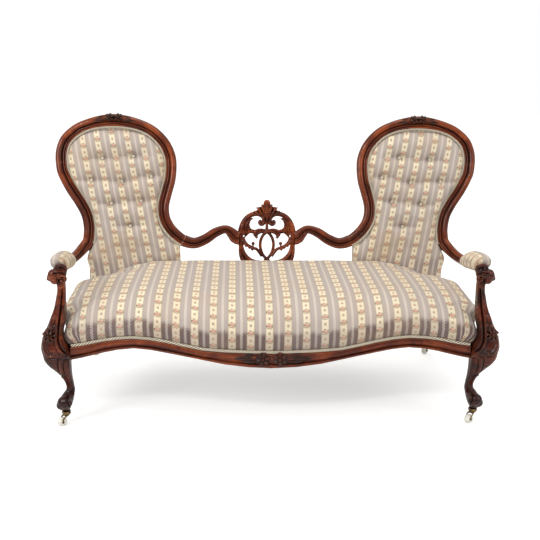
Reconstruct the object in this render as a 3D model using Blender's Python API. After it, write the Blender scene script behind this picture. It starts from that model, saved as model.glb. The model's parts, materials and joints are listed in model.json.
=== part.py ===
"""A Victorian settee: two spoon backs, a pierced centre splat, a sprung seat and castors.

Metres, +Z up. The front faces -Y, and +X is to the right as seen from the front. The origin is on the
floor under the middle of the settee. Paired pieces are made on the right and mirrored to the left.
"""

import math

import bmesh
import bpy
import numpy as np
from mathutils import Matrix, Vector

# Clearances and the place of the origin
FIT_GAP = 0.0003
LAID_GAP = 0.0006
PAD_CLEARANCE = 0.0016
ORIGIN_BACK_Y = 0.0156

# Seat frame
SEAT_HALF_WIDTH = 0.742
FRONT_RAIL_Y = -0.352
FRONT_RAIL_BOW = 0.033
FRONT_RAIL_THICKNESS = 0.050
RAIL_TOP_Z = 0.3135
RAIL_TOP_WAVE = 0.028
RAIL_UNDER_Z = 0.2665
RAIL_UNDER_WAVE = 0.038
REAR_TOP_Z = 0.3435
REAR_UNDER_Z = 0.2685
SHELF_Y = 0.165
SIDE_RAIL_INSET = 0.012
SIDE_RAIL_THICKNESS = 0.038
REAR_RAIL_FRONT = 0.006
BRACE_WIDTH = 0.045
BRACE_HEIGHT = 0.034
BRACE_LIFT = 0.004

# The two backs: a level plan splay, a recline, and a base point at seat height
BACK_BASE_Y = 0.235
BACK_BASE_Z = 0.4535
BACK_RECLINE = math.radians(16.0)
BACK_SPLAY = math.radians(6.0)
BACK_INNER_SET = 0.290
UPRIGHT_OUT = 0.180
UPRIGHT_IN = 0.175
UPRIGHT_WIDTH = 0.040
UPRIGHT_DEPTH = 0.028
UPRIGHT_TOP_DEPTH = 0.008
UPRIGHT_RISE = 0.192
UPRIGHT_TAPER_SHARE = 0.25
INNER_UPRIGHT_RISE = 0.134

# Moulded show-wood of the backs
HOOP_REACH = 0.300
HOOP_HEIGHT = 0.640
MOULDING_WIDTH = 0.050
MOULDING_DEPTH = 0.036
STATION_PITCH = 0.030
CURVE_STEPS = 16

# Arms
ARM_HEAD_Y = -0.335
ARM_HEAD_Z = 0.5835
ARM_HEAD_RADIUS = 0.040
ARM_HEAD_LENGTH = 0.076
ARM_HEAD_DROOP = 0.018
ARM_HEAD_LIFT = 0.010
ARM_HEAD_INSET = 0.030
ARM_HEAD_BEHIND = 0.028
ARM_BACK_SET = 0.020
ARM_BOW = 0.033
ARM_DIP = 0.060
ARM_PAD_LENGTH = 0.333
ARM_PAD_WIDTH = 0.074
ARM_PAD_HEIGHT = 0.084
ARM_PAD_OUT = 0.005

# Front legs and arm supports
LEG_TOP_Z = 0.3835
LEG_FOOT_Z = 0.0580
LEG_BACK_Y = -0.300
LEG_KNEE_WIDTH = 0.101
LEG_KNEE_DEPTH = 0.100

# Rear legs below the rail
REAR_FOOT_SWEEP = 0.188
REAR_FOOT_RADIUS = 0.017

# Centre splat
SPLAT_BACK_SET = 0.056
SPLAT_RECLINE = math.radians(10.0)
SPLAT_HALF_WIDTH = 0.127
SPLAT_HEIGHT = 0.288
SPLAT_BAND_WIDTH = 0.0170
SPLAT_STRAND_WIDTH = 0.0105
SPLAT_THICKNESS = 0.020

# Castors
WHEEL_RADIUS = 0.0175
WHEEL_WIDTH = 0.019
WHEEL_BORE = 0.0030
AXLE_RADIUS = 0.0025
CASTOR_TRAIL = 0.0185
CHEEK_THICKNESS = 0.0026
CHEEK_GAP = 0.0016
FORK_BRIDGE = 0.0040
PIN_RADIUS = 0.0040
PIN_LENGTH = 0.0095
CUP_RADIUS = 0.0165
CUP_WALL = 0.0040
CASTOR_TURN = math.radians(-147.0)

# Upholstery
SEAT_CROWN_Z = 0.4935
SEAT_BULGE = 0.046
SEAT_CAVITY_Z = 0.4135
SEAT_CAVITY_WALL = 0.082
BACK_CROWN = 0.040
BACK_ROLL = 0.060
BACK_EDGE = 0.002
BACK_SKIRT_FACE = 0.0115
PAD_SPREAD = 0.197
PAD_TOP_SET = 0.004
PAD_WAIST_LOOK = 0.008
PAD_BOTTOM_Z = 0.3855
TUFT_DEPTH = 0.020
TUFT_RADIUS = 0.026
BUTTON_RADIUS = 0.0075
BUTTON_FLATNESS = 0.6
LINING_THICKNESS = 0.003
OUTSIDE_THICKNESS = 0.0035
OUTSIDE_CLOSE = 0.050
GIMP_RADIUS = 0.0055
WEB_THICKNESS = 0.002
CLOTH_THICKNESS = 0.0016
CLOTH_SAG = 0.008

# Seat springs
SPRING_COLUMNS = 4
SPRING_ROWS = 2
SPRING_PITCH_X = 0.330
SPRING_PITCH_Y = 0.210
SPRING_RADIUS = 0.044
SPRING_WAIST_SHARE = 0.62
SPRING_WIRE = 0.0021
SPRING_TURNS = 4
SPRING_POINTS_PER_TURN = 7

# Derived places
LEG_INNER_X = SEAT_HALF_WIDTH
SIDE_RAIL_INNER_X = SEAT_HALF_WIDTH - SIDE_RAIL_INSET
SIDE_RAIL_X = SIDE_RAIL_INNER_X + SIDE_RAIL_THICKNESS / 2
BACK_CENTRE_X = SIDE_RAIL_X - UPRIGHT_OUT * math.cos(BACK_SPLAY)
BACK_INNER_X = BACK_CENTRE_X - BACK_INNER_SET
WOOD_BACK = -MOULDING_DEPTH / 2
UPRIGHT_FACE = WOOD_BACK - FIT_GAP
UPRIGHT_REAR = UPRIGHT_FACE - UPRIGHT_DEPTH
BASE = Vector((BACK_CENTRE_X, BACK_BASE_Y, BACK_BASE_Z))
OUTWARD = Vector((math.cos(BACK_SPLAY), -math.sin(BACK_SPLAY), 0))
REARWARD = Vector((math.sin(BACK_SPLAY), math.cos(BACK_SPLAY), 0))
UP = Vector((0, 0, 1))
FACE = UP * math.sin(BACK_RECLINE) - REARWARD * math.cos(BACK_RECLINE)
UPWARD = UP * math.cos(BACK_RECLINE) + REARWARD * math.sin(BACK_RECLINE)

# Shapes as shares of the sizes above
RAIL_STATION_SHARES = [0, 0.12, 0.24, 0.345, 0.44, 0.53, 0.61, 0.69, 0.77, 0.84, 0.89, 0.945, 1.0]
RAIL_BOW_SHARES = [(0, 1.0), (0.27, 0.6), (0.61, -0.36), (0.84, -0.30), (1.0, 0)]
RAIL_TOP_SHARES = [(0, -0.79), (0.17, -0.68), (0.355, -0.32), (0.528, 0.50),
                   (0.69, 1.0), (0.81, 0.80), (0.89, 0.44), (0.945, 0.17), (1.0, 0)]
RAIL_UNDER_SHARES = [(0, -0.89), (0.17, -0.66), (0.355, 0.03), (0.528, 0.58),
                     (0.69, 1.0), (0.81, 0.74), (0.89, 0.38), (0.945, 0.14), (1.0, -0.05)]
RAIL_FACE_SHARES = [(0.0, 1.0), (0.04, 0.90), (0.04, 0.66), (0.16, 0.56), (0.12, 0.34),
                    (0.0, 0.22), (0.06, 0.05), (0.16, 0.0)]

# Side rail section from its inner foot round the moulded outside to its top edge
SIDE_RAIL_SHARES = [(0.0, 0.0), (0.833, 0.0), (1.0, 0.167), (0.833, 0.55), (1.0, 0.80), (1.0, 1.0)]

# Moulding section: across the face, outer edge positive, and out of the face
MOULDING_SHARES = [(-0.50, -0.50), (0.36, -0.50), (0.50, -0.30), (0.50, 0.12), (0.38, 0.40), (0.16, 0.50),
                   (-0.02, 0.36), (-0.12, 0.14), (-0.24, 0.18), (-0.34, 0.28), (-0.44, 0.16), (-0.50, 0.0)]

# Middle line of the show-wood, across and up the back, with the width of the moulding there
WAIST_SHARES = [(-0.700, 0.184, 0.96), (-0.567, 0.234, 1.0), (-0.493, 0.278, 1.0), (-0.440, 0.331, 1.0),
                (-0.423, 0.383, 1.0), (-0.430, 0.434, 1.0), (-0.480, 0.520, 1.0), (-0.530, 0.602, 1.0),
                (-0.550, 0.695, 1.0)]
CREST_SHARES = [(-0.540, 0.753, 1.0), (-0.483, 0.825, 1.0), (-0.403, 0.878, 1.0), (-0.277, 0.931, 1.0),
                (-0.107, 0.969, 1.02), (0.083, 0.992, 1.10), (0.257, 1.0, 1.16), (0.433, 0.992, 1.08),
                (0.600, 0.973, 1.0), (0.763, 0.939, 1.0), (0.920, 0.872, 1.0), (0.980, 0.803, 1.0),
                (0.993, 0.745, 1.0), (0.990, 0.719, 1.0)]
STILE_SHARES = [(0.977, 0.666, 1.0), (0.937, 0.617, 1.0), (0.857, 0.542, 1.0), (0.750, 0.461, 1.0),
                (0.657, 0.370, 1.0), (0.627, 0.281, 1.0), (0.633, 0.234, 1.0), (0.647, 0.195, 1.0)]

# Link rail from a point on the splat's side to the waist: run, rise above the straight line, and width
LINK_END_SHARES = (0.998, 0.418)
LINK_RISE = 0.040
LINK_SHARES = [(0.0, 0.0, 0.70), (0.035, 0.03, 0.72), (0.10, 0.50, 0.76), (0.21, 1.0, 0.64),
               (0.40, 0.73, 0.76),
               (0.60, 0.02, 0.84), (0.80, -0.35, 0.88), (1.0, 0.0, 0.96)]

# Arm from the waist to its head: run, outward bow, dip, section scale, and how far its face has turned
ARM_SHARES = [(0.0, 0.48, 0.80, 0.92, 0.5), (0.12, 0.85, 0.98, 0.84, 0.9), (0.28, 1.0, 0.92, 0.80, 1.0),
              (0.40, 0.84, 0.70, 0.78, 1.0), (0.46, 0.76, 0.60, 0.55, 1.0), (0.57, 0.55, 0.38, 0.50, 1.0),
              (0.70, 0.33, 0.10, 0.50, 1.0), (0.85, 0.15, -0.02, 0.50, 1.0), (1.0, 0.0, -0.02, 0.50, 1.0)]
ARM_PAD_START_SHARE = 0.42
ARM_FACE = Vector((-0.8, 0, 0.6))

# Arm pad sections: run along the pad, width, height, and rise of its middle as a share of its height
ARM_PAD_SHARES = [(0.0, 0.64, 0.48, -0.01), (0.06, 0.78, 0.60, 0.0), (0.18, 0.90, 0.74, 0.02),
                  (0.38, 1.0, 0.88, 0.04), (0.60, 1.0, 0.92, 0.12), (0.80, 0.96, 0.84, 0.27),
                  (0.94, 0.88, 0.64, 0.42), (1.0, 0.76, 0.42, 0.52)]
ARM_PAD_SLICES = 12
ARM_BORE_SLACK_SHARE = 1.12
ARM_BORE_SHARES = [MOULDING_SHARES[i] for i in (0, 1, 2, 3, 4, 5, 9, 10, 11)]

# Front leg: height, inner side, outer side and front as shares of the knee's width and depth
FRONT_LEG_SHARES = [(1.0, 0.22, 0.87, 0.86), (0.964, 0.22, 0.90, 0.88), (0.883, 0.20, 0.97, 0.95),
                    (0.807, 0.10, 1.0, 1.0), (0.723, 0.02, 0.95, 1.0), (0.668, 0.0, 0.92, 0.98),
                    (0.594, 0.01, 0.78, 0.90), (0.539, 0.02, 0.62, 0.80), (0.475, 0.03, 0.46, 0.68),
                    (0.389, 0.03, 0.33, 0.52), (0.324, 0.01, 0.28, 0.42), (0.281, 0.0, 0.27, 0.38),
                    (0.238, -0.02, 0.33, 0.42), (0.217, -0.02, 0.43, 0.52), (0.161, 0.0, 0.62, 0.72),
                    (0.118, 0.03, 0.69, 0.78), (0.063, 0.09, 0.60, 0.70), (0.011, 0.18, 0.42, 0.52),
                    (0.0, 0.20, 0.40, 0.50)]
LEG_HEEL_SHARES = [0, 0, 0, 0, 0, 0, 0.02, 0.03, 0.03, 0.02, 0, -0.01, -0.01, 0, 0.03, 0.06, 0.12, 0.22,
                   0.24]
ARM_STEM_SHARES = [(0.0, 0.22, 0.85, 0.85, 0.0), (0.12, 0.16, 0.74, 0.82, 0.02),
                   (0.25, 0.10, 0.63, 0.78, 0.05), (0.42, 0.08, 0.49, 0.72, 0.10),
                   (0.60, 0.07, 0.40, 0.67, 0.13), (0.76, 0.06, 0.34, 0.62, 0.15),
                   (0.90, 0.07, 0.37, 0.60, 0.16), (1.0, 0.08, 0.42, 0.56, 0.20)]
ARM_HEAD_SHARES = [(0.0, 0.30), (0.03, 0.72), (0.12, 0.90), (0.34, 1.0), (0.55, 0.92), (0.74, 0.66),
                   (0.90, 0.34), (1.0, 0.12)]

# Rear leg below the rail: drop, sweep and thickness
REAR_LEG_SHARES = [(0.25, 0.06, 1.16), (0.45, 0.19, 1.08), (0.65, 0.40, 0.98), (0.82, 0.66, 0.92),
                   (0.93, 0.87, 0.96), (1.0, 1.0, 1.0)]

# Seat cover: columns from the middle to the side, and rows from front to rear
SEAT_SIDE_SHARES = [(0.948, 0.40, 0.90), (0.965, 0.80, 0.83), (0.980, 1.0, 0.72), (0.990, 0.84, 0.50),
                    (0.997, 0.45, 0.20), (1.0, 0.0, 0.0)]
SEAT_FLANK_SHARES = [(0.0, 1.0), (0.50, 1.0), (0.67, 0.99), (0.84, 0.965), (0.917, 0.935)]
SEAT_ROW_SHARES = [(0.0, 0.0, 0.0), (-0.026, 0.16, 0.30), (-0.0445, 0.34, 0.70), (-0.0375, 0.52, 0.70),
                   (-0.0075, 0.68, 0.62), (0.056, 0.81, 0.52), (0.14, 0.90, 0.72), (0.257, 0.96, 1.0),
                   (0.413, 0.99, 1.0), (0.59, 1.0, 1.0), (0.80, 1.0, 1.0), (1.0, 0.99, 1.0)]
SEAT_REAR_SHARES = [(0.965, 0.9), (0.60, 0.7), (0.26, 0.3)]
SEAT_CORNER_SHARE = 0.009
SEAT_FRONT_SET = 0.0150
SEAT_TONGUE = 0.0165

WEB_ROW_SHARES = [0.0, 0.22, 0.36, 0.58, 0.72, 1.0]
CLOTH_ROW_SHARES = [(0.0, 1.0), (0.50, 1.0), (1.0, 1.0)]

# Back cushion: outline below the outer waist, and the tufts, across and up the back
SKIRT_SHARES = [(0.0, 0.98), (0.07, 1.02), (0.10, 1.0), (0.13, 0.92), (0.19, 0.835)]
TUFT_SHARES = [(0.420, 0.750), (-0.020, 0.762), (0.580, 0.605), (0.153, 0.594), (-0.263, 0.625),
               (0.310, 0.448), (-0.110, 0.461), (0.053, 0.294)]
PAD_WAIST_SHARE = 0.35
PAD_EDGE_SHARES = (-0.5, 0.28)
PAD_SLICES = 27
PAD_COLUMNS = 15
OUTSIDE_SLICES = 18

# Splat, right half, as shares of its half width and height
SCROLL_SHARES = [(0.262, 0.672), (0.250, 0.640), (0.195, 0.624), (0.125, 0.638), (0.096, 0.684),
                 (0.138, 0.737), (0.228, 0.772), (0.363, 0.786), (0.514, 0.775), (0.664, 0.735),
                 (0.784, 0.672), (0.866, 0.592), (0.904, 0.500), (0.911, 0.400), (0.896, 0.307),
                 (0.859, 0.228), (0.784, 0.162), (0.679, 0.109), (0.529, 0.069), (0.303, 0.049),
                 (-0.040, 0.046)]
SCROLL_WIDTH_SHARES = [0.40, 0.50, 0.62, 0.72, 0.80, 0.88, 0.94, 1.0, 1.0, 1.0, 1.0, 1.0, 1.0, 1.0, 1.0,
                       0.96, 0.90, 0.80, 0.66, 0.54, 0.50]
EYE_SHARES = (0.236, 0.672)
OUTER_STRAND_SHARES = [(0.925, 0.300), (0.905, 0.188), (0.850, 0.102), (0.760, 0.036), (0.640, -0.030)]
VESICA_SHARES = [(0.087, 0.066), (-0.063, 0.122), (-0.153, 0.175), (-0.216, 0.254), (-0.231, 0.334),
                 (-0.183, 0.420), (-0.078, 0.486), (0.057, 0.516), (0.207, 0.510), (0.327, 0.483),
                 (0.375, 0.447), (0.330, 0.413)]
BRANCH_SHARES = [(0.840, 0.430), (0.780, 0.362), (0.661, 0.307), (0.495, 0.268), (0.360, 0.248),
                 (0.255, 0.195), (0.165, 0.137)]
BERRY_SHARES = [(0.480, 0.262), (0.476, 0.334)]
LEAF_SHARES = [(0.450, 0.718), (0.559, 0.679), (0.600, 0.626), (0.578, 0.579), (0.518, 0.553),
               (0.420, 0.543), (0.170, 0.545), (0.170, 0.520), (0.375, 0.508), (0.495, 0.486),
               (0.589, 0.490), (0.661, 0.463), (0.743, 0.427), (0.800, 0.466), (0.860, 0.520),
               (0.870, 0.586), (0.810, 0.662), (0.660, 0.725)]
FINIAL_SHARES = [(0.0, 1.0), (0.068, 0.994), (0.117, 0.960), (0.120, 0.924), (0.195, 0.930),
                 (0.240, 0.894), (0.383, 0.891), (0.405, 0.867), (0.330, 0.851), (0.495, 0.834),
                 (0.518, 0.812), (0.375, 0.780), (0.225, 0.765), (0.090, 0.720), (0.0, 0.690)]
VESICA_WIDTH_SHARES = [1.0] * 10 + [1.1, 0.7]
STEM_WIDTH_SHARES = [1.1, 0.9, 1.2]
BALL_SHARE = 0.68
STEM_SHARES = [(0.0, 0.720), (0.0, 0.620), (0.0, 0.505)]
FOOT_SHARES = [(0.75, 0.030), (0.62, -0.100), (0.42, -0.160)]

# Section of a carved band of the splat
BAND_SHARES = [(-0.50, -0.28), (-0.30, -0.50), (0.30, -0.50), (0.50, -0.28), (0.50, 0.12), (0.20, 0.50),
               (-0.20, 0.50), (-0.50, 0.12)]

WOOD = ("rosewood", (0.085, 0.022, 0.010), 0.28, 0.0)
INNER_WOOD = ("beech", (0.42, 0.28, 0.16), 0.65, 0.0)
FABRIC = ("striped_cover", (0.62, 0.54, 0.42), 0.85, 0.0)
LINEN = ("hessian", (0.50, 0.40, 0.26), 0.90, 0.0)
CORD = ("cord_gimp", (0.66, 0.58, 0.42), 0.80, 0.0)
STEEL = ("spring_steel", (0.30, 0.27, 0.24), 0.45, 0.9)
BRASS = ("aged_brass", (0.50, 0.34, 0.13), 0.38, 1.0)
CERAMIC = ("white_ceramic", (0.86, 0.83, 0.76), 0.22, 0.0)


def clear_scene():
    for old in list(bpy.data.objects):
        bpy.data.objects.remove(old, do_unlink=True)


def material_for(finish):
    name, colour, roughness, metallic = finish
    material = bpy.data.materials.new(name)
    material.use_nodes = True
    shader = material.node_tree.nodes["Principled BSDF"]
    shader.inputs["Base Color"].default_value = (*colour, 1)
    shader.inputs["Roughness"].default_value = roughness
    shader.inputs["Metallic"].default_value = metallic
    material.diffuse_color = (*colour, 1)
    return material


def add_object(name, body, finish, origin=(0, 0, 0), parent=None, smooth_angle=35.0):
    """A scene object from a bmesh in the parent's space, with its origin at the given point."""
    bmesh.ops.translate(body, verts=body.verts, vec=-Vector(origin))
    bmesh.ops.recalc_face_normals(body, faces=body.faces)
    mesh = bpy.data.meshes.new(name)
    body.to_mesh(mesh)
    body.free()
    mesh.shade_smooth()
    mesh.set_sharp_from_angle(angle=math.radians(smooth_angle))
    mesh.materials.append(material_for(finish))
    piece = bpy.data.objects.new(name, mesh)
    piece.location = origin
    piece.parent = parent or SETTEE
    bpy.context.collection.objects.link(piece)
    return piece


def mirrored(piece, name):
    """The left-hand twin of a right-hand piece, modifiers' result included."""
    bpy.context.view_layer.update()
    graph = bpy.context.evaluated_depsgraph_get()
    mesh = bpy.data.meshes.new_from_object(piece.evaluated_get(graph))
    mesh.transform(Matrix.Scale(-1, 4, (1, 0, 0)))
    mesh.flip_normals()
    twin = bpy.data.objects.new(name, mesh)
    twin.location = (-piece.location.x, piece.location.y, piece.location.z)
    twin.parent = piece.parent
    bpy.context.collection.objects.link(twin)
    return twin


def add_pair(name, body, finish, origin, **options):
    right = add_object(f"{name}_right", body, finish, origin, **options)
    mirrored(right, f"{name}_left")
    return right


def combine(piece, other, operation):
    """Join, cut or keep with an exact Boolean whose operand stays as a hidden guide."""
    other.hide_render = True
    other.display_type = "WIRE"
    step = piece.modifiers.new(other.name, "BOOLEAN")
    step.operation = operation
    step.solver = "EXACT"
    step.object = other
    return piece


def smooth_rows(rows, steps=16, axes=3):
    """Rows on a centripetal Catmull-Rom curve, with so many steps between each two given rows."""
    rows = np.array(rows, dtype=float)
    rows = np.vstack([2 * rows[0] - rows[1], rows, 2 * rows[-1] - rows[-2]])
    reach = np.linalg.norm(np.diff(rows[:, :axes], axis=0), axis=1)
    knots = np.concatenate([[0], np.cumsum(np.sqrt(reach))])
    result = []
    for i in range(1, len(rows) - 2):
        times = np.linspace(knots[i], knots[i + 1], steps, endpoint=False)[:, None]
        k0, k1, k2, k3 = knots[i - 1:i + 3]
        p0, p1, p2, p3 = rows[i - 1:i + 3]
        a1 = p0 + (p1 - p0) * (times - k0) / (k1 - k0)
        a2 = p1 + (p2 - p1) * (times - k1) / (k2 - k1)
        a3 = p2 + (p3 - p2) * (times - k2) / (k3 - k2)
        b1 = a1 + (a2 - a1) * (times - k0) / (k2 - k0)
        b2 = a2 + (a3 - a2) * (times - k1) / (k3 - k1)
        result.append(b1 + (b2 - b1) * (times - k1) / (k2 - k1))
    return np.vstack([*result, rows[-2:-1]])


def even_rows(dense, count, axes=3):
    """So many rows spaced evenly along a dense line."""
    reach = np.linalg.norm(np.diff(dense[:, :axes], axis=0), axis=1)
    along = np.concatenate([[0], np.cumsum(reach)])
    wanted = np.linspace(0, along[-1], count)
    return np.column_stack([np.interp(wanted, along, column) for column in dense.T])


def line_length(dense, axes=3):
    return float(np.linalg.norm(np.diff(dense[:, :axes], axis=0), axis=1).sum())


def wave(shares, at):
    """Height of a smooth line of shares, read at one place along it."""
    dense = smooth_rows(shares, steps=24, axes=1)
    return float(np.interp(at, dense[:, 0], dense[:, 1]))


def loft(rings, body=None):
    """A closed body through rings of as many points each, capped at both ends."""
    body = body or bmesh.new()
    rows = [[body.verts.new(point) for point in ring] for ring in rings]
    count = len(rows[0])
    for lower, upper in zip(rows, rows[1:]):
        for i in range(count):
            j = (i + 1) % count
            body.faces.new((lower[i], lower[j], upper[j], upper[i]))
    body.faces.new(rows[0][::-1])
    body.faces.new(rows[-1])
    return body


def cylinder(radius, low, high, sides, body=None):
    """An upright round bar on the Z axis."""
    rings = []
    for height in (low, high):
        rings.append([(radius * math.cos(2 * math.pi * i / sides),
                       radius * math.sin(2 * math.pi * i / sides), height) for i in range(sides)])
    return loft(rings, body)


def box(low, high):
    """An upright block between two corners."""
    (x0, y0, z0), (x1, y1, z1) = low, high
    return loft([[(x0, y0, z), (x1, y0, z), (x1, y1, z), (x0, y1, z)] for z in (z0, z1)])


def rounded_ring(centre_x, centre_y, half_x, half_y, height, count=14, fullness=3.2):
    """One level ring between a circle and a rectangle; more fullness is squarer."""
    ring = []
    for i in range(count):
        angle = 2 * math.pi * (i + 0.5) / count
        cosine, sine = math.cos(angle), math.sin(angle)
        x = math.copysign(abs(cosine) ** (2 / fullness), cosine)
        y = math.copysign(abs(sine) ** (2 / fullness), sine)
        ring.append((centre_x + half_x * x, centre_y + half_y * y, height))
    return ring


# Places on the frame and on the backs

def station_value(shares, x):
    """A share read along the front rail, straight between its stations so that mating faces agree."""
    at = min(abs(x) / SEAT_HALF_WIDTH, 1)
    values = [wave(shares, share) for share in RAIL_STATION_SHARES]
    return float(np.interp(at, RAIL_STATION_SHARES, values))


def front_line(x):
    """Face of the front rail in plan."""
    return FRONT_RAIL_Y - FRONT_RAIL_BOW * station_value(RAIL_BOW_SHARES, x)


def rail_run(x, y):
    """How far back a place is, from the front rail's face to the shelf in front of the rear rail."""
    front = front_line(x)
    return min((y - front) / (SHELF_Y - front), 1)


def rail_top(x, y):
    front = RAIL_TOP_Z + RAIL_TOP_WAVE * station_value(RAIL_TOP_SHARES, x)
    return front + (REAR_TOP_Z - front) * rail_run(x, y)


def rail_under(x, y):
    front = RAIL_UNDER_Z + RAIL_UNDER_WAVE * station_value(RAIL_UNDER_SHARES, x)
    return front + (REAR_UNDER_Z - front) * rail_run(x, y)


def rail_stations():
    right = [share * SEAT_HALF_WIDTH for share in RAIL_STATION_SHARES]
    return [-x for x in right[:0:-1]] + right


def on_back(across, height, proud):
    """A point on the right back: across it, at a level height, and proud of its plane."""
    rise = height - BACK_BASE_Z
    depth = rise * math.tan(BACK_RECLINE) - proud / math.cos(BACK_RECLINE)
    return BASE + OUTWARD * across + REARWARD * depth + UP * rise


def in_back_plane(across, up, proud=0.0):
    """A point on the right back, measured along its own slope."""
    return BASE + OUTWARD * across + UPWARD * up + FACE * proud


def back_y(x, height, proud):
    """Where the right back's plane, moved proud, stands at a place and height; level between the backs."""
    x = max(abs(x), BACK_INNER_X)
    across = FACE.x * (x - BASE.x) + FACE.z * (height - BASE.z)
    return BASE.y + (proud - across) / FACE.y


def back_x(y, across):
    """Where a line across the right back crosses a depth."""
    return BASE.x + (across + math.sin(BACK_SPLAY) * (y - BASE.y)) / math.cos(BACK_SPLAY)


def splat_point(across_share, up_share, proud=0.0):
    """A point on the centre splat from shares of its half width and height."""
    up = up_share * SPLAT_HEIGHT
    lean, rise = math.sin(SPLAT_RECLINE), math.cos(SPLAT_RECLINE)
    back = BACK_BASE_Y + SPLAT_BACK_SET
    return Vector((across_share * SPLAT_HALF_WIDTH, back + up * lean - proud * rise,
                   BACK_BASE_Z + up * rise + proud * lean))


# The moulded line of a back: link rail, inner stile, crest, outer stile and arm in one run


def moulding_rows():
    """Rows of centre, facing direction, width and depth scale, and the row where each piece starts."""
    rows = []
    starts = {}
    waist = in_back_plane(WAIST_SHARES[0][0] * HOOP_REACH, WAIST_SHARES[0][1] * HOOP_HEIGHT)
    splat = splat_point(*LINK_END_SHARES)
    starts["link"] = 0
    for run, rise, width in LINK_SHARES[:-1]:
        centre = splat.lerp(waist, run) + UPWARD * rise * LINK_RISE
        rows.append([*centre, *FACE, width, min(1.0, width + 0.1)])
    for name, shares in (("inner", WAIST_SHARES), ("crest", CREST_SHARES), ("outer", STILE_SHARES)):
        starts[name] = len(rows) - (0 if name == "inner" else 1)
        for across, up, width in shares:
            rows.append([*in_back_plane(across * HOOP_REACH, up * HOOP_HEIGHT), *FACE, width, 1.0])
    start = Vector((SIDE_RAIL_X + MOULDING_WIDTH / 2, BACK_BASE_Y - ARM_BACK_SET, ARM_HEAD_Z))
    head = Vector((arm_head_x(), ARM_HEAD_Y + ARM_HEAD_RADIUS + FIT_GAP, ARM_HEAD_Z + ARM_HEAD_LIFT))
    for run, bow, dip, scale, turn in ARM_SHARES:
        base = Vector((head.x, start.y + (head.y - start.y) * run, head.z))
        centre = base + Vector((bow * ARM_BOW, 0, -dip * ARM_DIP))
        face = FACE.lerp(ARM_FACE, turn).normalized()
        rows.append([*centre, *face, scale, scale])
    starts["end"] = len(rows) - 1
    return rows, starts


def arm_head_x():
    """Where the arm's middle line meets the scroll head."""
    return SEAT_HALF_WIDTH + ARM_HEAD_INSET


def stations(dense, first, last):
    """Evenly spaced stations between two places of the dense line, with square frames."""
    tangents = np.gradient(dense[:, :3], axis=0)
    table = np.column_stack([dense, tangents])[first:last + 1]
    count = max(3, round(line_length(table) / STATION_PITCH) + 1)
    result = []
    for row in even_rows(table, count):
        tangent = Vector(row[8:11]).normalized()
        face = Vector(row[3:6])
        face = (face - tangent * face.dot(tangent)).normalized()
        result.append([Vector(row[:3]), face.cross(tangent), face, row[6], row[7], tangent])
    result[0][0] = result[0][0] + result[0][5] * FIT_GAP / 2
    result[-1][0] = result[-1][0] - result[-1][5] * FIT_GAP / 2
    return result


def ring_at(station, shares, width, depth, grow=1.0):
    centre, across, face, width_scale, depth_scale, _ = station
    return [centre + across * a * width * width_scale * grow + face * b * depth * depth_scale * grow
            for a, b in shares]


def moulding_lines():
    rows, starts = moulding_rows()
    dense = smooth_rows(rows, CURVE_STEPS)
    order = ["link", "inner", "crest", "outer", "end"]
    return {name: stations(dense, starts[name] * CURVE_STEPS, starts[following] * CURVE_STEPS)
            for name, following in zip(order, order[1:])}


def add_mouldings(lines):
    names = {"link": "link_rail", "inner": "inner_stile", "crest": "back_crest",
             "outer": "outer_stile_and_arm"}
    for key, name in names.items():
        rings = [ring_at(station, MOULDING_SHARES, MOULDING_WIDTH, MOULDING_DEPTH) for station in lines[key]]
        add_pair(name, loft(rings), WOOD, lines[key][0][0])


def inner_edge(lines, side, proud):
    """The opening's edge as heights and places across the back, from the waist to the crest."""
    table = []
    for key in ("inner", "crest") if side == "inner" else ("crest", "outer"):
        for centre, across, face, scale, _, _ in lines[key]:
            point = centre - across * MOULDING_WIDTH * scale / 2 + face * proud * MOULDING_DEPTH
            table.append((point.z, (point - BASE).dot(OUTWARD), centre.y))
    middle = max(table)
    if side == "inner":
        kept = [row for row in table if row[1] <= middle[1]]
    else:
        kept = [row for row in table if row[1] >= middle[1] and row[2] > BACK_BASE_Y + ARM_BACK_SET]
    heights, places, _ = zip(*sorted(kept))
    return heights, places


def pad_edges(lines):
    """A function giving the cushion's left and right limits at a height, and the cushion's top."""
    inner = [inner_edge(lines, "inner", share) for share in PAD_EDGE_SHARES]
    outer = [inner_edge(lines, "outer", share) for share in PAD_EDGE_SHARES]
    top = min(heights[-1] for heights, _ in inner + outer) - PAD_CLEARANCE - PAD_TOP_SET
    waist_z = BACK_BASE_Z + SKIRT_SHARES[-1][0] * HOOP_HEIGHT

    def limits(height):
        levels = [height]
        if height < BACK_BASE_Z + HOOP_HEIGHT * PAD_WAIST_SHARE:
            levels += [height - PAD_WAIST_LOOK, height + PAD_WAIST_LOOK]
        left = max(float(np.interp(level, *edge)) for edge in inner for level in levels)
        left = max(left, -PAD_SPREAD) + PAD_CLEARANCE
        if height < waist_z:
            share = (height - BACK_BASE_Z) / HOOP_HEIGHT
            right = PAD_SPREAD * wave(SKIRT_SHARES, max(share, 0))
        else:
            right = min(float(np.interp(level, *edge)) for edge in outer for level in levels)
        return left, right - PAD_CLEARANCE

    return limits, top


def slice_heights(low, high, count):
    """Levels that crowd together towards the crest, where the outline turns fastest."""
    steps = [1 - (1 - i / (count - 1)) ** 1.35 for i in range(count)]
    return [low + (high - low) * step for step in steps]


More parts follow.
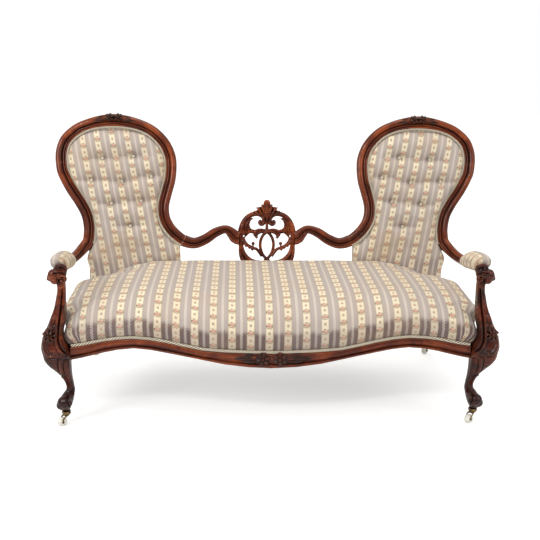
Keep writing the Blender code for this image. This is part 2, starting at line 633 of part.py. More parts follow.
def add_back_cushions(lines):
    limits, top = pad_edges(lines)
    heights = slice_heights(PAD_BOTTOM_Z, top, PAD_SLICES)
    outline = []
    for height in np.linspace(PAD_BOTTOM_Z, top, 4 * PAD_SLICES):
        left, right = limits(height)
        outline += [(left, height), (right, height)]
    left, right = limits(top)
    outline += [(left + (right - left) * i / 8, top) for i in range(9)]
    outline = np.array(outline)
    scale = math.cos(BACK_RECLINE)
    tufts = [(across * HOOP_REACH, BACK_BASE_Z + up * HOOP_HEIGHT * scale) for across, up in TUFT_SHARES]

    def proud(across, height):
        gap = float(np.hypot(outline[:, 0] - across, (outline[:, 1] - height) / scale).min())
        roll = math.sqrt(max(0.0, 1 - (1 - min(gap / BACK_ROLL, 1)) ** 2))
        rise = (height - BACK_BASE_Z) / HOOP_HEIGHT
        full = BACK_SKIRT_FACE + (BACK_CROWN - BACK_SKIRT_FACE) * min(max((rise - 0.06) / 0.22, 0), 1)
        sunk = sum(math.exp(-((across - x) ** 2 + ((height - z) / scale) ** 2) / TUFT_RADIUS ** 2 * 1.6)
                   for x, z in tufts)
        return BACK_EDGE + (full - BACK_EDGE) * roll - TUFT_DEPTH * min(sunk, 1.0) * roll

    rear = WOOD_BACK + LINING_THICKNESS + FIT_GAP
    rings = []
    for height in heights:
        left, right = limits(height)
        front = [left + (right - left) * i / (PAD_COLUMNS - 1) for i in range(PAD_COLUMNS)]
        ring = [on_back(across, height, proud(across, height)) for across in front]
        rings.append(ring + [on_back(right, height, rear), on_back(left, height, rear)])
    cushion = add_object("back_cushion_right", loft(rings), FABRIC, BASE)
    for number, (x, z) in enumerate(tufts):
        button = bmesh.new()
        bmesh.ops.create_uvsphere(button, u_segments=8, v_segments=5, radius=BUTTON_RADIUS)
        turn = FACE.to_track_quat("Z", "Y").to_matrix().to_4x4()
        squash = Matrix.Scale(BUTTON_FLATNESS, 4, (0, 0, 1))
        button.transform(Matrix.Translation(on_back(x, z, proud(x, z))) @ turn @ squash)
        guide = add_object(f"button_{number}", button, FABRIC, (0, 0, 0))
        combine(cushion, guide, "UNION")
    mirrored(cushion, "back_cushion_left")

    rings = []
    for height in heights:
        left, right = limits(height)
        face = rear - FIT_GAP
        rings.append([on_back(left, height, face), on_back(right, height, face),
                      on_back(right, height, WOOD_BACK), on_back(left, height, WOOD_BACK)])
    add_pair("back_lining", loft(rings), LINEN, BASE)


def lap_depth(height):
    """Depth of the uprights and of the outside back's step behind the show-wood, at a level."""
    top = BACK_BASE_Z + UPRIGHT_RISE
    low = BACK_BASE_Z + UPRIGHT_RISE * UPRIGHT_TAPER_SHARE
    share = min(max((height - low) / (top - low), 0), 1)
    return UPRIGHT_DEPTH + (UPRIGHT_TOP_DEPTH - UPRIGHT_DEPTH) * share


def outside_step(height):
    """How far behind the show-wood the outside back stands: over the uprights, then close to the hoop."""
    top = BACK_BASE_Z + UPRIGHT_RISE
    if height <= top:
        return lap_depth(height)
    return UPRIGHT_TOP_DEPTH * max(0, 1 - (height - top) / OUTSIDE_CLOSE)


def add_outside_backs(lines):
    """The cloth panel behind each back, from the rear rail up to the crest."""
    reach = []
    for key in ("inner", "crest", "outer"):
        for centre, _, _, _, _, _ in lines[key]:
            if centre.y > BACK_BASE_Y + ARM_BACK_SET:
                reach.append((centre.z, (centre - BASE).dot(OUTWARD)))
    top_z, top_across = max(reach)
    left_side = sorted(row for row in reach if row[1] <= top_across)
    right_side = sorted(row for row in reach if row[1] >= top_across)
    low = REAR_TOP_Z + FIT_GAP
    heights = slice_heights(low, top_z - OUTSIDE_THICKNESS, OUTSIDE_SLICES)
    heights = sorted(heights + [BACK_BASE_Z + UPRIGHT_RISE * UPRIGHT_TAPER_SHARE, BACK_BASE_Z + UPRIGHT_RISE,
                                BACK_BASE_Z + UPRIGHT_RISE + OUTSIDE_CLOSE])
    rings = []
    for height in heights:
        left = max(float(np.interp(height, *zip(*left_side))), -PAD_SPREAD)
        right = float(np.interp(height, *zip(*right_side)))
        if height < right_side[0][0]:
            right = PAD_SPREAD
        face = UPRIGHT_FACE - outside_step(height) - FIT_GAP
        rear = face - OUTSIDE_THICKNESS
        rings.append([on_back(left, height, face), on_back(right, height, face),
                      on_back(right, height, rear), on_back(left, height, rear)])
    add_pair("outside_back", loft(rings), FABRIC, BASE)


# Seat frame

def add_front_rail():
    """Serpentine show-wood rail: bowed in plan, waved top and bottom, with an ogee face."""
    rings = []
    for x in rail_stations():
        x = math.copysign(min(abs(x), SEAT_HALF_WIDTH - FIT_GAP), x)
        face = front_line(x)
        rear = face + FRONT_RAIL_THICKNESS
        ring = []
        for depth, height in RAIL_FACE_SHARES:
            y = face + depth * FRONT_RAIL_THICKNESS
            low, high = rail_under(x, y), rail_top(x, y)
            ring.append((x, y, low + (high - low) * height))
        ring += [(x, rear, rail_under(x, rear)), (x, rear, rail_top(x, rear))]
        rings.append(ring)
    add_object("front_rail", loft(rings), WOOD, (0, FRONT_RAIL_Y, RAIL_TOP_Z))


def add_rear_rail():
    """Straight in the middle, following the splay of the backs towards the rear legs."""
    end = UPRIGHT_OUT - UPRIGHT_WIDTH / 2 - FIT_GAP
    rings = []
    for share in REAR_RAIL_STATION_SHARES:
        ring = []
        for proud in (REAR_RAIL_FRONT, UPRIGHT_REAR):
            x = share * back_x(BACK_BASE_Y, end)
            if abs(share) == 1:
                y = back_y(x, REAR_TOP_Z, proud)
                x = share * back_x(y, end)
            y = back_y(x, REAR_TOP_Z, proud)
            ring += [(x, y, REAR_UNDER_Z), (x, y, REAR_TOP_Z)]
        ring = [ring[0], ring[1], ring[3], ring[2]]
        rings.append(ring)
    add_object("rear_rail", loft(rings), INNER_WOOD, (0, BACK_BASE_Y, REAR_TOP_Z), smooth_angle=3.0)


def rear_rail_stations():
    bend = BACK_INNER_X / back_x(BACK_BASE_Y, UPRIGHT_OUT - UPRIGHT_WIDTH / 2)
    return [-1.0, -bend, bend, 1.0]


REAR_RAIL_STATION_SHARES = rear_rail_stations()


def add_side_rails():
    """Side rails between the front legs and the rear legs, with the front rail's wave faded out."""
    inner = SIDE_RAIL_INNER_X
    rings = []
    for y in (LEG_BACK_Y + FIT_GAP, SHELF_Y, None):
        section = [(inner + across * SIDE_RAIL_THICKNESS, up) for across, up in SIDE_RAIL_SHARES]
        section += [(SEAT_HALF_WIDTH, 1), (inner, 1)]
        ring = []
        for x, share in section:
            place = SHELF_Y if y is None else y
            z = rail_under(x, place) + (rail_top(x, place) - rail_under(x, place)) * share
            depth = back_y(x, z, UPRIGHT_FACE + FIT_GAP) if y is None else y
            ring.append((x, depth, z))
        rings.append(ring)
    add_pair("side_rail", loft(rings), WOOD, (SIDE_RAIL_X, LEG_BACK_Y, RAIL_TOP_Z))


def add_centre_brace():
    half = BRACE_WIDTH / 2
    front = front_line(half) + FRONT_RAIL_THICKNESS + FIT_GAP
    rear = back_y(0, REAR_TOP_Z, REAR_RAIL_FRONT) - FIT_GAP
    rings = []
    for y in (front, rear):
        low = rail_under(0, y) + BRACE_LIFT
        high = low + BRACE_HEIGHT
        rings.append([(-half, y, low), (half, y, low), (half, y, high), (-half, y, high)])
    add_object("centre_brace", loft(rings), INNER_WOOD, (0, front, RAIL_UNDER_Z))


# Legs, uprights and arm supports

def add_front_legs():
    """Cabriole leg: a knee that leans out at the corner, a slim ankle and a scrolled toe."""
    rings = []
    for (rise, inner, outer, front), heel in zip(FRONT_LEG_SHARES, LEG_HEEL_SHARES):
        z = LEG_FOOT_Z + (LEG_TOP_Z - FIT_GAP - LEG_FOOT_Z) * rise
        x0 = LEG_INNER_X + FIT_GAP + inner * LEG_KNEE_WIDTH
        x1 = LEG_INNER_X + outer * LEG_KNEE_WIDTH
        y0 = LEG_BACK_Y - front * LEG_KNEE_DEPTH
        y1 = LEG_BACK_Y - heel * LEG_KNEE_DEPTH
        rings.append(rounded_ring((x0 + x1) / 2, (y0 + y1) / 2, (x1 - x0) / 2, (y1 - y0) / 2, z))
    add_pair("front_leg", loft(rings), WOOD, (LEG_INNER_X, LEG_BACK_Y, LEG_TOP_Z))


def arm_head(grow=0.0):
    """The scroll that the arm ends in, turned about an axis across the arm that droops outwards."""
    start = Vector((arm_head_x() - ARM_HEAD_BEHIND, ARM_HEAD_Y, ARM_HEAD_Z + ARM_HEAD_LIFT))
    along = Vector((ARM_HEAD_LENGTH, 0, -ARM_HEAD_DROOP))
    across = Vector((ARM_HEAD_DROOP, 0, ARM_HEAD_LENGTH)).normalized()
    rings = []
    sides = 14
    for run, share in ARM_HEAD_SHARES:
        radius = ARM_HEAD_RADIUS * share + grow
        centre = start + along * run - along.normalized() * grow * (1 - 2 * run)
        rings.append([centre + across * radius * math.cos(2 * math.pi * i / sides)
                      + Vector((0, radius, 0)) * math.sin(2 * math.pi * i / sides) for i in range(sides)])
    return loft(rings)


def add_arm_supports():
    """The stem that rises from each front leg and rolls over into the arm's scroll head."""
    top = ARM_HEAD_Z + ARM_HEAD_LIFT / 2
    rings = []
    for rise, inner, outer, front, heel in ARM_STEM_SHARES:
        z = LEG_TOP_Z + (top - LEG_TOP_Z) * rise
        x0 = LEG_INNER_X + inner * LEG_KNEE_WIDTH
        x1 = LEG_INNER_X + outer * LEG_KNEE_WIDTH
        y0 = LEG_BACK_Y - front * LEG_KNEE_DEPTH
        y1 = LEG_BACK_Y - heel * LEG_KNEE_DEPTH
        rings.append(rounded_ring((x0 + x1) / 2, (y0 + y1) / 2, (x1 - x0) / 2, (y1 - y0) / 2, z, 12))
    stem = add_object("arm_support_right", loft(rings), WOOD, (LEG_INNER_X, LEG_BACK_Y, LEG_TOP_Z))
    head = add_object("arm_head_guide", arm_head(), WOOD)
    combine(stem, head, "UNION")
    mirrored(stem, "arm_support_left")


def upright_ring(across, height, lean=0.0, half=None, depth=None, level=None):
    """A chamfered ring of an upright or rear leg, level, and turned with the back's splay."""
    half = half or UPRIGHT_WIDTH / 2
    face = on_back(across, height, UPRIGHT_FACE)
    rear = on_back(across, height, UPRIGHT_FACE - (depth or lap_depth(height)))
    middle = (face + rear) / 2 + REARWARD * lean
    reach = (rear - face).length / 2
    chamfer = min(half, reach) / 4
    z = height if level is None else level
    ring = []
    for sx, sy in ((-1, -1), (1, -1), (1, 1), (-1, 1)):
        corners = [(sx * half, sy * (reach - chamfer)), (sx * (half - chamfer), sy * reach)]
        for u, d in corners if sx * sy > 0 else corners[::-1]:
            point = middle + OUTWARD * u + REARWARD * d
            ring.append((point.x, point.y, z))
    return ring


def upright_heights(low, rise):
    return [low, BACK_BASE_Z + UPRIGHT_RISE * UPRIGHT_TAPER_SHARE, BACK_BASE_Z + rise]


def add_rear_legs():
    """Rear leg and outer upright in one timber, raked back below the rail for the castor."""
    heights = upright_heights(REAR_UNDER_Z, UPRIGHT_RISE)
    rings = [upright_ring(UPRIGHT_OUT, height) for height in heights[::-1]]
    drop = REAR_UNDER_Z - LEG_FOOT_Z
    for share, sweep, thick in REAR_LEG_SHARES:
        radius = REAR_FOOT_RADIUS * thick
        rings.append(upright_ring(UPRIGHT_OUT, REAR_UNDER_Z, REAR_FOOT_SWEEP * sweep, radius,
                                  2 * radius * math.cos(BACK_RECLINE), REAR_UNDER_Z - drop * share))
    add_pair("rear_leg", loft(rings), WOOD, on_back(UPRIGHT_OUT, REAR_TOP_Z, UPRIGHT_FACE))


def add_inner_uprights():
    heights = upright_heights(REAR_TOP_Z + FIT_GAP, INNER_UPRIGHT_RISE)
    rings = [upright_ring(-UPRIGHT_IN, height) for height in heights]
    add_pair("inner_upright", loft(rings), INNER_WOOD, on_back(-UPRIGHT_IN, REAR_TOP_Z, UPRIGHT_FACE))


# Centre splat

def band(shares, widths, thickness, level, pitch, mirror=1):
    """A carved strand along a line of the splat, with its own level so that crossings read."""
    rows = [(across, up, width) for (across, up), width in zip(shares, widths)]
    ratio = SPLAT_HALF_WIDTH / SPLAT_HEIGHT
    dense = smooth_rows([(across * ratio, up, width) for across, up, width in rows], axes=2)
    count = max(3, round(line_length(dense, 2) * SPLAT_HEIGHT / pitch) + 1)
    even = even_rows(dense, count, 2)
    turns = np.gradient(even[:, :2], axis=0)
    rings = []
    for (across, up, width), (du, dv) in zip(even, turns):
        length = math.hypot(du, dv)
        ring = []
        for a, b in BAND_SHARES:
            u = across - dv / length * a * width / SPLAT_HEIGHT
            v = up + du / length * a * width / SPLAT_HEIGHT
            ring.append(splat_point(mirror * u / ratio, v, level + b * thickness))
        rings.append(ring)
    return loft(rings)


def plate(shares, thickness, level, mirror=1):
    """A flat carved leaf with its front edge chamfered."""
    body = bmesh.new()
    low = level - thickness / 2
    outline = [body.verts.new(splat_point(mirror * across, up, low)) for across, up in shares]
    back = body.faces.new(outline)
    raised = bmesh.ops.extrude_face_region(body, geom=[back])
    normal = splat_point(0, 0, 1) - splat_point(0, 0, 0)
    verts = [item for item in raised["geom"] if isinstance(item, bmesh.types.BMVert)]
    bmesh.ops.translate(body, verts=verts, vec=normal * thickness)
    return body


def add_splat():
    """Two C scrolls that meet under a leaf, two crossing strands, and branches with berries."""
    pieces = []
    strand = SPLAT_STRAND_WIDTH
    thick = SPLAT_THICKNESS
    fine = STATION_PITCH * 0.62
    scroll_widths = [share * SPLAT_BAND_WIDTH for share in SCROLL_WIDTH_SHARES]
    vesica_widths = [share * strand for share in VESICA_WIDTH_SHARES]
    for side, mirror in (("right", 1), ("left", -1)):
        over = mirror * thick / 50
        foot_widths = [strand] * len(OUTER_STRAND_SHARES)
        branch_widths = [strand] * len(BRANCH_SHARES)
        stalk_widths = [strand / 2] * len(BERRY_SHARES)
        pieces += [
            (f"scroll_{side}", band(SCROLL_SHARES, scroll_widths, thick, over, fine, mirror)),
            (f"foot_strand_{side}", band(OUTER_STRAND_SHARES, foot_widths, thick * 0.84, over - thick / 30,
                                         fine, mirror)),
            (f"vesica_{side}", band(VESICA_SHARES, vesica_widths, thick * 0.68, mirror * thick / 9,
                                    fine, mirror)),
            (f"branch_{side}", band(BRANCH_SHARES, branch_widths, thick * 0.62, over - thick / 14,
                                    fine, mirror)),
            (f"stalk_{side}", band(BERRY_SHARES, stalk_widths, thick * 0.3, over, fine, mirror)),
            (f"leaf_{side}", plate(LEAF_SHARES, thick * 0.56, over - thick / 11, mirror)),
        ]
        for name, (across, up) in (("berry", BERRY_SHARES[-1]), ("eye", EYE_SHARES)):
            ball = bmesh.new()
            bmesh.ops.create_icosphere(ball, subdivisions=1, radius=strand * BALL_SHARE)
            ball.transform(Matrix.Translation(splat_point(mirror * across, up, over)))
            pieces.append((f"{name}_{side}", ball))
    stem_widths = [strand * share for share in STEM_WIDTH_SHARES]
    pieces.append(("stem", band(STEM_SHARES, stem_widths, thick * 0.74, -thick / 20, STATION_PITCH)))
    finial = FINIAL_SHARES + [(-across, up) for across, up in FINIAL_SHARES[-2:0:-1]]
    pieces.append(("finial", plate(finial, thick * 0.9, thick / 16)))
    bottom = (REAR_TOP_Z - BACK_BASE_Z) / (SPLAT_HEIGHT * math.cos(SPLAT_RECLINE))
    foot = FOOT_SHARES + [(FOOT_SHARES[-1][0], bottom)]
    foot = foot + [(-across, up) for across, up in foot[::-1]]
    pieces.append(("foot", plate(foot, thick * 0.95, -thick / 100)))
    splat = add_object("centre_splat", pieces[0][1], WOOD)
    for name, body in pieces[1:]:
        combine(splat, add_object(f"splat_{name}", body, WOOD), "UNION")
    base = REAR_TOP_Z + FIT_GAP
    reach = SPLAT_HALF_WIDTH
    below = box((-reach, 0, base - SPLAT_HEIGHT), (reach, 2 * reach + BACK_BASE_Y, base))
    combine(splat, add_object("splat_base_cut", below, WOOD), "DIFFERENCE")


# Castors

def castor(name, foot):
    """A brass castor under one foot: a fixed cup, a trailing fork that swivels, an axle and a wheel."""
    holder = bpy.data.objects.new(f"{name}_place", None)
    holder.location = (foot[0], foot[1], 0)
    holder.rotation_euler = (0, 0, CASTOR_TURN)
    holder.parent = SETTEE
    bpy.context.collection.objects.link(holder)

    inner = WHEEL_WIDTH / 2 + CHEEK_GAP
    outer = inner + CHEEK_THICKNESS
    bridge = 2 * WHEEL_RADIUS + CHEEK_GAP
    crown = bridge + FORK_BRIDGE
    boss_top = LEG_FOOT_Z - FIT_GAP - PIN_LENGTH - CUP_WALL
    boss_radius = CUP_RADIUS * 0.7
    low = WHEEL_RADIUS - PIN_RADIUS * 1.5

    section = [(-outer, low), (-inner, low), (-inner, bridge), (inner, bridge), (inner, low), (outer, low),
               (outer, crown), (-outer, crown)]
    rings = []
    for x in (CASTOR_TRAIL - boss_radius * 0.8, CASTOR_TRAIL + boss_radius * 0.7):
        rings.append([(x, y, z) for y, z in section])
    fork = add_object(f"{name}_fork", loft(rings), BRASS, parent=holder)
    neck = FORK_BRIDGE * 0.05
    arm = box((-boss_radius * 0.6, -inner * 0.8, bridge + neck), (CASTOR_TRAIL, inner * 0.8, crown - neck))
    combine(fork, add_object(f"{name}_neck", arm, BRASS, parent=holder), "UNION")
    boss = cylinder(boss_radius, bridge + 2 * neck, boss_top, 12)
    combine(fork, add_object(f"{name}_boss", boss, BRASS, parent=holder), "UNION")
    pin = cylinder(PIN_RADIUS, crown, boss_top + PIN_LENGTH - FIT_GAP, 8)
    combine(fork, add_object(f"{name}_pin", pin, BRASS, parent=holder), "UNION")
    hole = cylinder(AXLE_RADIUS + FIT_GAP, -2 * outer, 2 * outer, 8)
    turn = Matrix.Rotation(math.pi / 2, 4, "X")
    seat = Matrix.Translation((CASTOR_TRAIL, 0, WHEEL_RADIUS))
    hole.transform(seat @ turn)
    combine(fork, add_object(f"{name}_hole", hole, BRASS, parent=holder), "DIFFERENCE")

    axle = cylinder(AXLE_RADIUS, -outer - CHEEK_GAP, outer + CHEEK_GAP, 8)
    axle.transform(turn)
    place = (CASTOR_TRAIL, 0, WHEEL_RADIUS)
    pin_piece = add_object(f"{name}_axle", axle, BRASS, parent=holder)
    pin_piece.location = place

    shoulder = WHEEL_RADIUS * 0.80
    wheel_ring = [(WHEEL_BORE, -0.5), (shoulder, -0.5), (WHEEL_RADIUS, -0.26), (WHEEL_RADIUS, 0.26),
                  (shoulder, 0.5), (WHEEL_BORE, 0.5)]
    wheel = bmesh.new()
    sides = 16
    rows = []
    for i in range(sides):
        angle = 2 * math.pi * i / sides
        rows.append([wheel.verts.new((r * math.sin(angle), w * WHEEL_WIDTH, -r * math.cos(angle)))
                     for r, w in wheel_ring])
    for i in range(sides):
        for j in range(len(wheel_ring)):
            k = (j + 1) % len(wheel_ring)
            nxt = rows[(i + 1) % sides]
            wheel.faces.new((rows[i][j], rows[i][k], nxt[k], nxt[j]))
    wheel_piece = add_object(f"{name}_wheel", wheel, CERAMIC, parent=holder)
    wheel_piece.location = place

    bore = PIN_RADIUS + FIT_GAP
    top = LEG_FOOT_Z - FIT_GAP
    bottom = boss_top + FIT_GAP
    cup = bmesh.new()
    sides = 14
    profile = [(bore, boss_top + PIN_LENGTH), (bore, bottom), (CUP_RADIUS * 0.86, bottom),
               (CUP_RADIUS, bottom + CUP_WALL), (CUP_RADIUS, top)]
    rows = []
    for radius, z in profile:
        turns = [2 * math.pi * i / sides for i in range(sides)]
        rows.append([cup.verts.new((radius * math.cos(a), radius * math.sin(a), z)) for a in turns])
    for lower, upper in zip(rows, rows[1:]):
        for i in range(sides):
            j = (i + 1) % sides
            cup.faces.new((lower[i], lower[j], upper[j], upper[i]))
    cup.faces.new(rows[-1])
    cup.faces.new(rows[0][::-1])
    add_object(f"{name}_cup", cup, BRASS, parent=holder)


def add_castors():
    _, inner, outer, front = FRONT_LEG_SHARES[-1]
    x = LEG_INNER_X + (inner + outer) / 2 * LEG_KNEE_WIDTH
    y = LEG_BACK_Y - (front + LEG_HEEL_SHARES[-1]) / 2 * LEG_KNEE_DEPTH
    ring = np.array(upright_ring(UPRIGHT_OUT, REAR_UNDER_Z, REAR_FOOT_SWEEP, REAR_FOOT_RADIUS,
                                 2 * REAR_FOOT_RADIUS * math.cos(BACK_RECLINE)))
    rear = ring.mean(axis=0)
    for side, sign in (("right", 1), ("left", -1)):
        castor(f"castor_front_{side}", (sign * x, y))
        castor(f"castor_rear_{side}", (sign * rear[0], rear[1]))


# Upholstery

def seat_columns():
    """Columns of the seat cover: place at the rim, outward swell and fullness, left to right."""
    half = SEAT_HALF_WIDTH - 2 * FIT_GAP
    right = [(share * half, 0.0, wave(SEAT_FLANK_SHARES, share)) for share in RAIL_STATION_SHARES[:-1]]
    right += [(share * half, swell * SEAT_BULGE, full) for share, swell, full in SEAT_SIDE_SHARES]
    return [(-x, -swell, full) for x, swell, full in right[:0:-1]] + right


def seat_point(column, row):
    """A point of the seat cover's top, from the front rim over the crown to the tongue on the rear rail."""
    x0, swell, across_full = column
    front = front_line(x0) + SEAT_FRONT_SET
    if row < len(SEAT_ROW_SHARES):
        run, full, spread = SEAT_ROW_SHARES[row]
        run = across_full * run + (1 - across_full) * max(run, SEAT_CORNER_SHARE * row)
        y = front + run * (SHELF_Y - front)
        z = rail_top(x0, y) + LAID_GAP
        z += (SEAT_CROWN_Z - z) * full * across_full
        return (x0 + swell * spread, y, z)
    row -= len(SEAT_ROW_SHARES)
    base = REAR_TOP_Z + LAID_GAP
    if row < len(SEAT_REAR_SHARES):
        full, spread = SEAT_REAR_SHARES[row]
        x = x0 + swell * spread
        z = base + (SEAT_CROWN_Z - base) * full * across_full
        return (x, back_y(x, z, BACK_SKIRT_FACE + PAD_CLEARANCE), z)
    full = SEAT_REAR_SHARES[-1][0] * 0.9 if row == len(SEAT_REAR_SHARES) else 0
    z = base + (SEAT_CROWN_Z - base) * full * across_full
    return (x0, back_y(x0, z, -SEAT_TONGUE), z)


def add_seat():
    """Domed seat cover over a sprung hollow, rolled over the front rail and tucked under the backs."""
    columns = seat_columns()
    row_count = len(SEAT_ROW_SHARES) + len(SEAT_REAR_SHARES) + 2
    body = bmesh.new()
    top = [[body.verts.new(seat_point(column, row)) for row in range(row_count)] for column in columns]
    under = []
    for i, column in enumerate(columns):
        line = []
        for row in range(row_count):
            if i in (0, len(columns) - 1) or row in (0, row_count - 1):
                line.append(top[i][row])
                continue
            first = seat_point(column, 0)[1]
            last = seat_point(column, row_count - 1)[1]
            shelf = len(SEAT_ROW_SHARES) - 1
            y = float(np.interp(row, (0, shelf, row_count - 1), (first, SHELF_Y, last)))
            line.append(body.verts.new((column[0], y, rail_top(column[0], y) + LAID_GAP)))
        under.append(line)
    for i in range(len(columns) - 1):
        for row in range(row_count - 1):
            body.faces.new((top[i][row], top[i + 1][row], top[i + 1][row + 1], top[i][row + 1]))
            lower = [under[i][row], under[i][row + 1], under[i + 1][row + 1], under[i + 1][row]]
            body.faces.new(lower)
    seat = add_object("seat_cushion", body, FABRIC, (0, FRONT_RAIL_Y, RAIL_TOP_Z), smooth_angle=60.0)
    wall = SEAT_CAVITY_WALL
    cavity = box((-SEAT_HALF_WIDTH + wall, FRONT_RAIL_Y + wall, REAR_UNDER_Z / 2),
                 (SEAT_HALF_WIDTH - wall, SHELF_Y - wall / 5, SEAT_CAVITY_Z))
    combine(seat, add_object("seat_hollow", cavity, FABRIC), "DIFFERENCE")


def add_arm_pads(lines):
    """A stuffed muff round each arm that swells forwards and hoods the scroll head."""
    outer = lines["outer"]
    start_y = BACK_BASE_Y - ARM_BACK_SET
    pad_y = start_y + (ARM_HEAD_Y + ARM_HEAD_RADIUS - start_y) * ARM_PAD_START_SHARE
    core = [station for station in outer if station[0].y < pad_y]
    along = [station[0] for station in core]
    table = smooth_rows(ARM_PAD_SHARES, axes=1)
    sleeve = []
    for i in range(ARM_PAD_SLICES + 1):
        run = i / ARM_PAD_SLICES
        y = pad_y - run * ARM_PAD_LENGTH
        width, height, lift = [float(np.interp(run, table[:, 0], table[:, k])) for k in (1, 2, 3)]
        x = float(np.interp(-y, [-point.y for point in along], [point.x for point in along]))
        z = float(np.interp(-y, [-point.y for point in along], [point.z for point in along]))
        half_x = ARM_PAD_WIDTH / 2 * width
        half_z = ARM_PAD_HEIGHT / 2 * height
        centre_z = z + lift * ARM_PAD_HEIGHT
        ring = []
        for k in range(12):
            angle = 2 * math.pi * k / 12
            out = x + ARM_PAD_OUT * run + half_x * math.cos(angle)
            ring.append((out, y, centre_z + half_z * math.sin(angle)))
        sleeve.append(ring)
    pad = add_object("arm_pad_right", loft(sleeve), FABRIC, outer[-1][0], smooth_angle=60.0)
    bore = [ring_at(station, ARM_BORE_SHARES, MOULDING_WIDTH, MOULDING_DEPTH, ARM_BORE_SLACK_SHARE)
            for station in outer if station[0].y < pad_y + 2 * STATION_PITCH]
    bore.append([point + outer[-1][5] * ARM_HEAD_RADIUS / 2 for point in bore[-1]])
    combine(pad, add_object("arm_bore_guide", loft(bore), FABRIC), "DIFFERENCE")
    combine(pad, add_object("arm_head_cut", arm_head(FIT_GAP), FABRIC), "DIFFERENCE")
    mirrored(pad, "arm_pad_left")


def add_gimp():
    """Cord that covers the tacks along the front rail's top edge."""
    rings = []
    for x in rail_stations():
        x = math.copysign(min(abs(x), SEAT_HALF_WIDTH - 2 * FIT_GAP), x)
        y = front_line(x) + GIMP_RADIUS * 1.1
        z = rail_top(x, y) + FIT_GAP + GIMP_RADIUS
        turns = [math.pi * i / 3 for i in range(6)]
        rings.append([(x, y + GIMP_RADIUS * math.cos(a), z + GIMP_RADIUS * math.sin(a)) for a in turns])
    add_object("front_gimp", loft(rings), CORD, (0, FRONT_RAIL_Y, RAIL_TOP_Z))


def under_sheet(x_list, y_list, thickness, drops, filled):
    """A net or sheet below the rails that follows their undersides; `filled` says which cells exist.

    Both skins of a cell are split along the same diagonal, so that they stay one thickness apart.
    """
    body = bmesh.new()
    grids = []
    for below in (0, thickness):
        grids.append([[None] * len(y_list) for _ in x_list])
        for i, x in enumerate(x_list):
            for j, y_of in enumerate(y_list):
                y = y_of(x)
                used = any(filled(a, b) for a in (i - 1, i) for b in (j - 1, j)
                           if 0 <= a < len(x_list) - 1 and 0 <= b < len(y_list) - 1)
                if used:
                    grids[-1][i][j] = body.verts.new((x, y, rail_under(x, y) - drops[j] - below))
    upper, lower = grids
    for i in range(len(x_list) - 1):
        for j in range(len(y_list) - 1):
            if not filled(i, j):
                continue
            cell = [(i, j), (i + 1, j), (i + 1, j + 1), (i, j + 1)]
            for half in (cell[:3], [cell[0], *cell[2:]]):
                body.faces.new([upper[a][b] for a, b in half])
                body.faces.new([lower[a][b] for a, b in half[::-1]])
            beside = ((0, -1), (1, 0), (0, 1), (-1, 0))
            for (a, b), (c, d), (di, dj) in zip(cell, cell[1:] + cell[:1], beside):
                ni, nj = i + di, j + dj
                inside = 0 <= ni < len(x_list) - 1 and 0 <= nj < len(y_list) - 1
                if not (inside and filled(ni, nj)):
                    body.faces.new((upper[c][d], upper[a][b], lower[a][b], lower[c][d]))
    return body


def add_webbing():
    """Woven webbing, tacked under the rails, with a dust cloth below it."""
    x_list = rail_stations()[1:-1]
    lap = FRONT_RAIL_THICKNESS * 0.55

    def front(x):
        return front_line(x) + lap

    def rear(x):
        return back_y(x, REAR_TOP_Z, REAR_RAIL_FRONT) + FRONT_RAIL_THICKNESS * 0.4

    def between(share):
        def place(x):
            first = front_line(x) + FRONT_RAIL_THICKNESS
            return first + (SHELF_Y - first) * share
        return place

    def strapped(i, j):
        return i % 2 == 0 or j in (2, 4)

    rows = [front] + [between(share) for share in WEB_ROW_SHARES] + [rear]
    net = under_sheet(x_list, rows, WEB_THICKNESS, [LAID_GAP] * len(rows), strapped)
    add_object("seat_webbing", net, LINEN, (0, FRONT_RAIL_Y, RAIL_UNDER_Z), smooth_angle=20.0)
    tacked = LAID_GAP + FIT_GAP + WEB_THICKNESS
    rows = [front] + [between(share) for share, _ in CLOTH_ROW_SHARES] + [rear]
    drops = [tacked] + [tacked + CLOTH_SAG * sag for _, sag in CLOTH_ROW_SHARES] + [tacked]
    cloth = under_sheet(x_list, rows, CLOTH_THICKNESS, drops, lambda i, j: True)
    add_object("dust_cloth", cloth, LINEN, (0, FRONT_RAIL_Y, RAIL_UNDER_Z), smooth_angle=20.0)


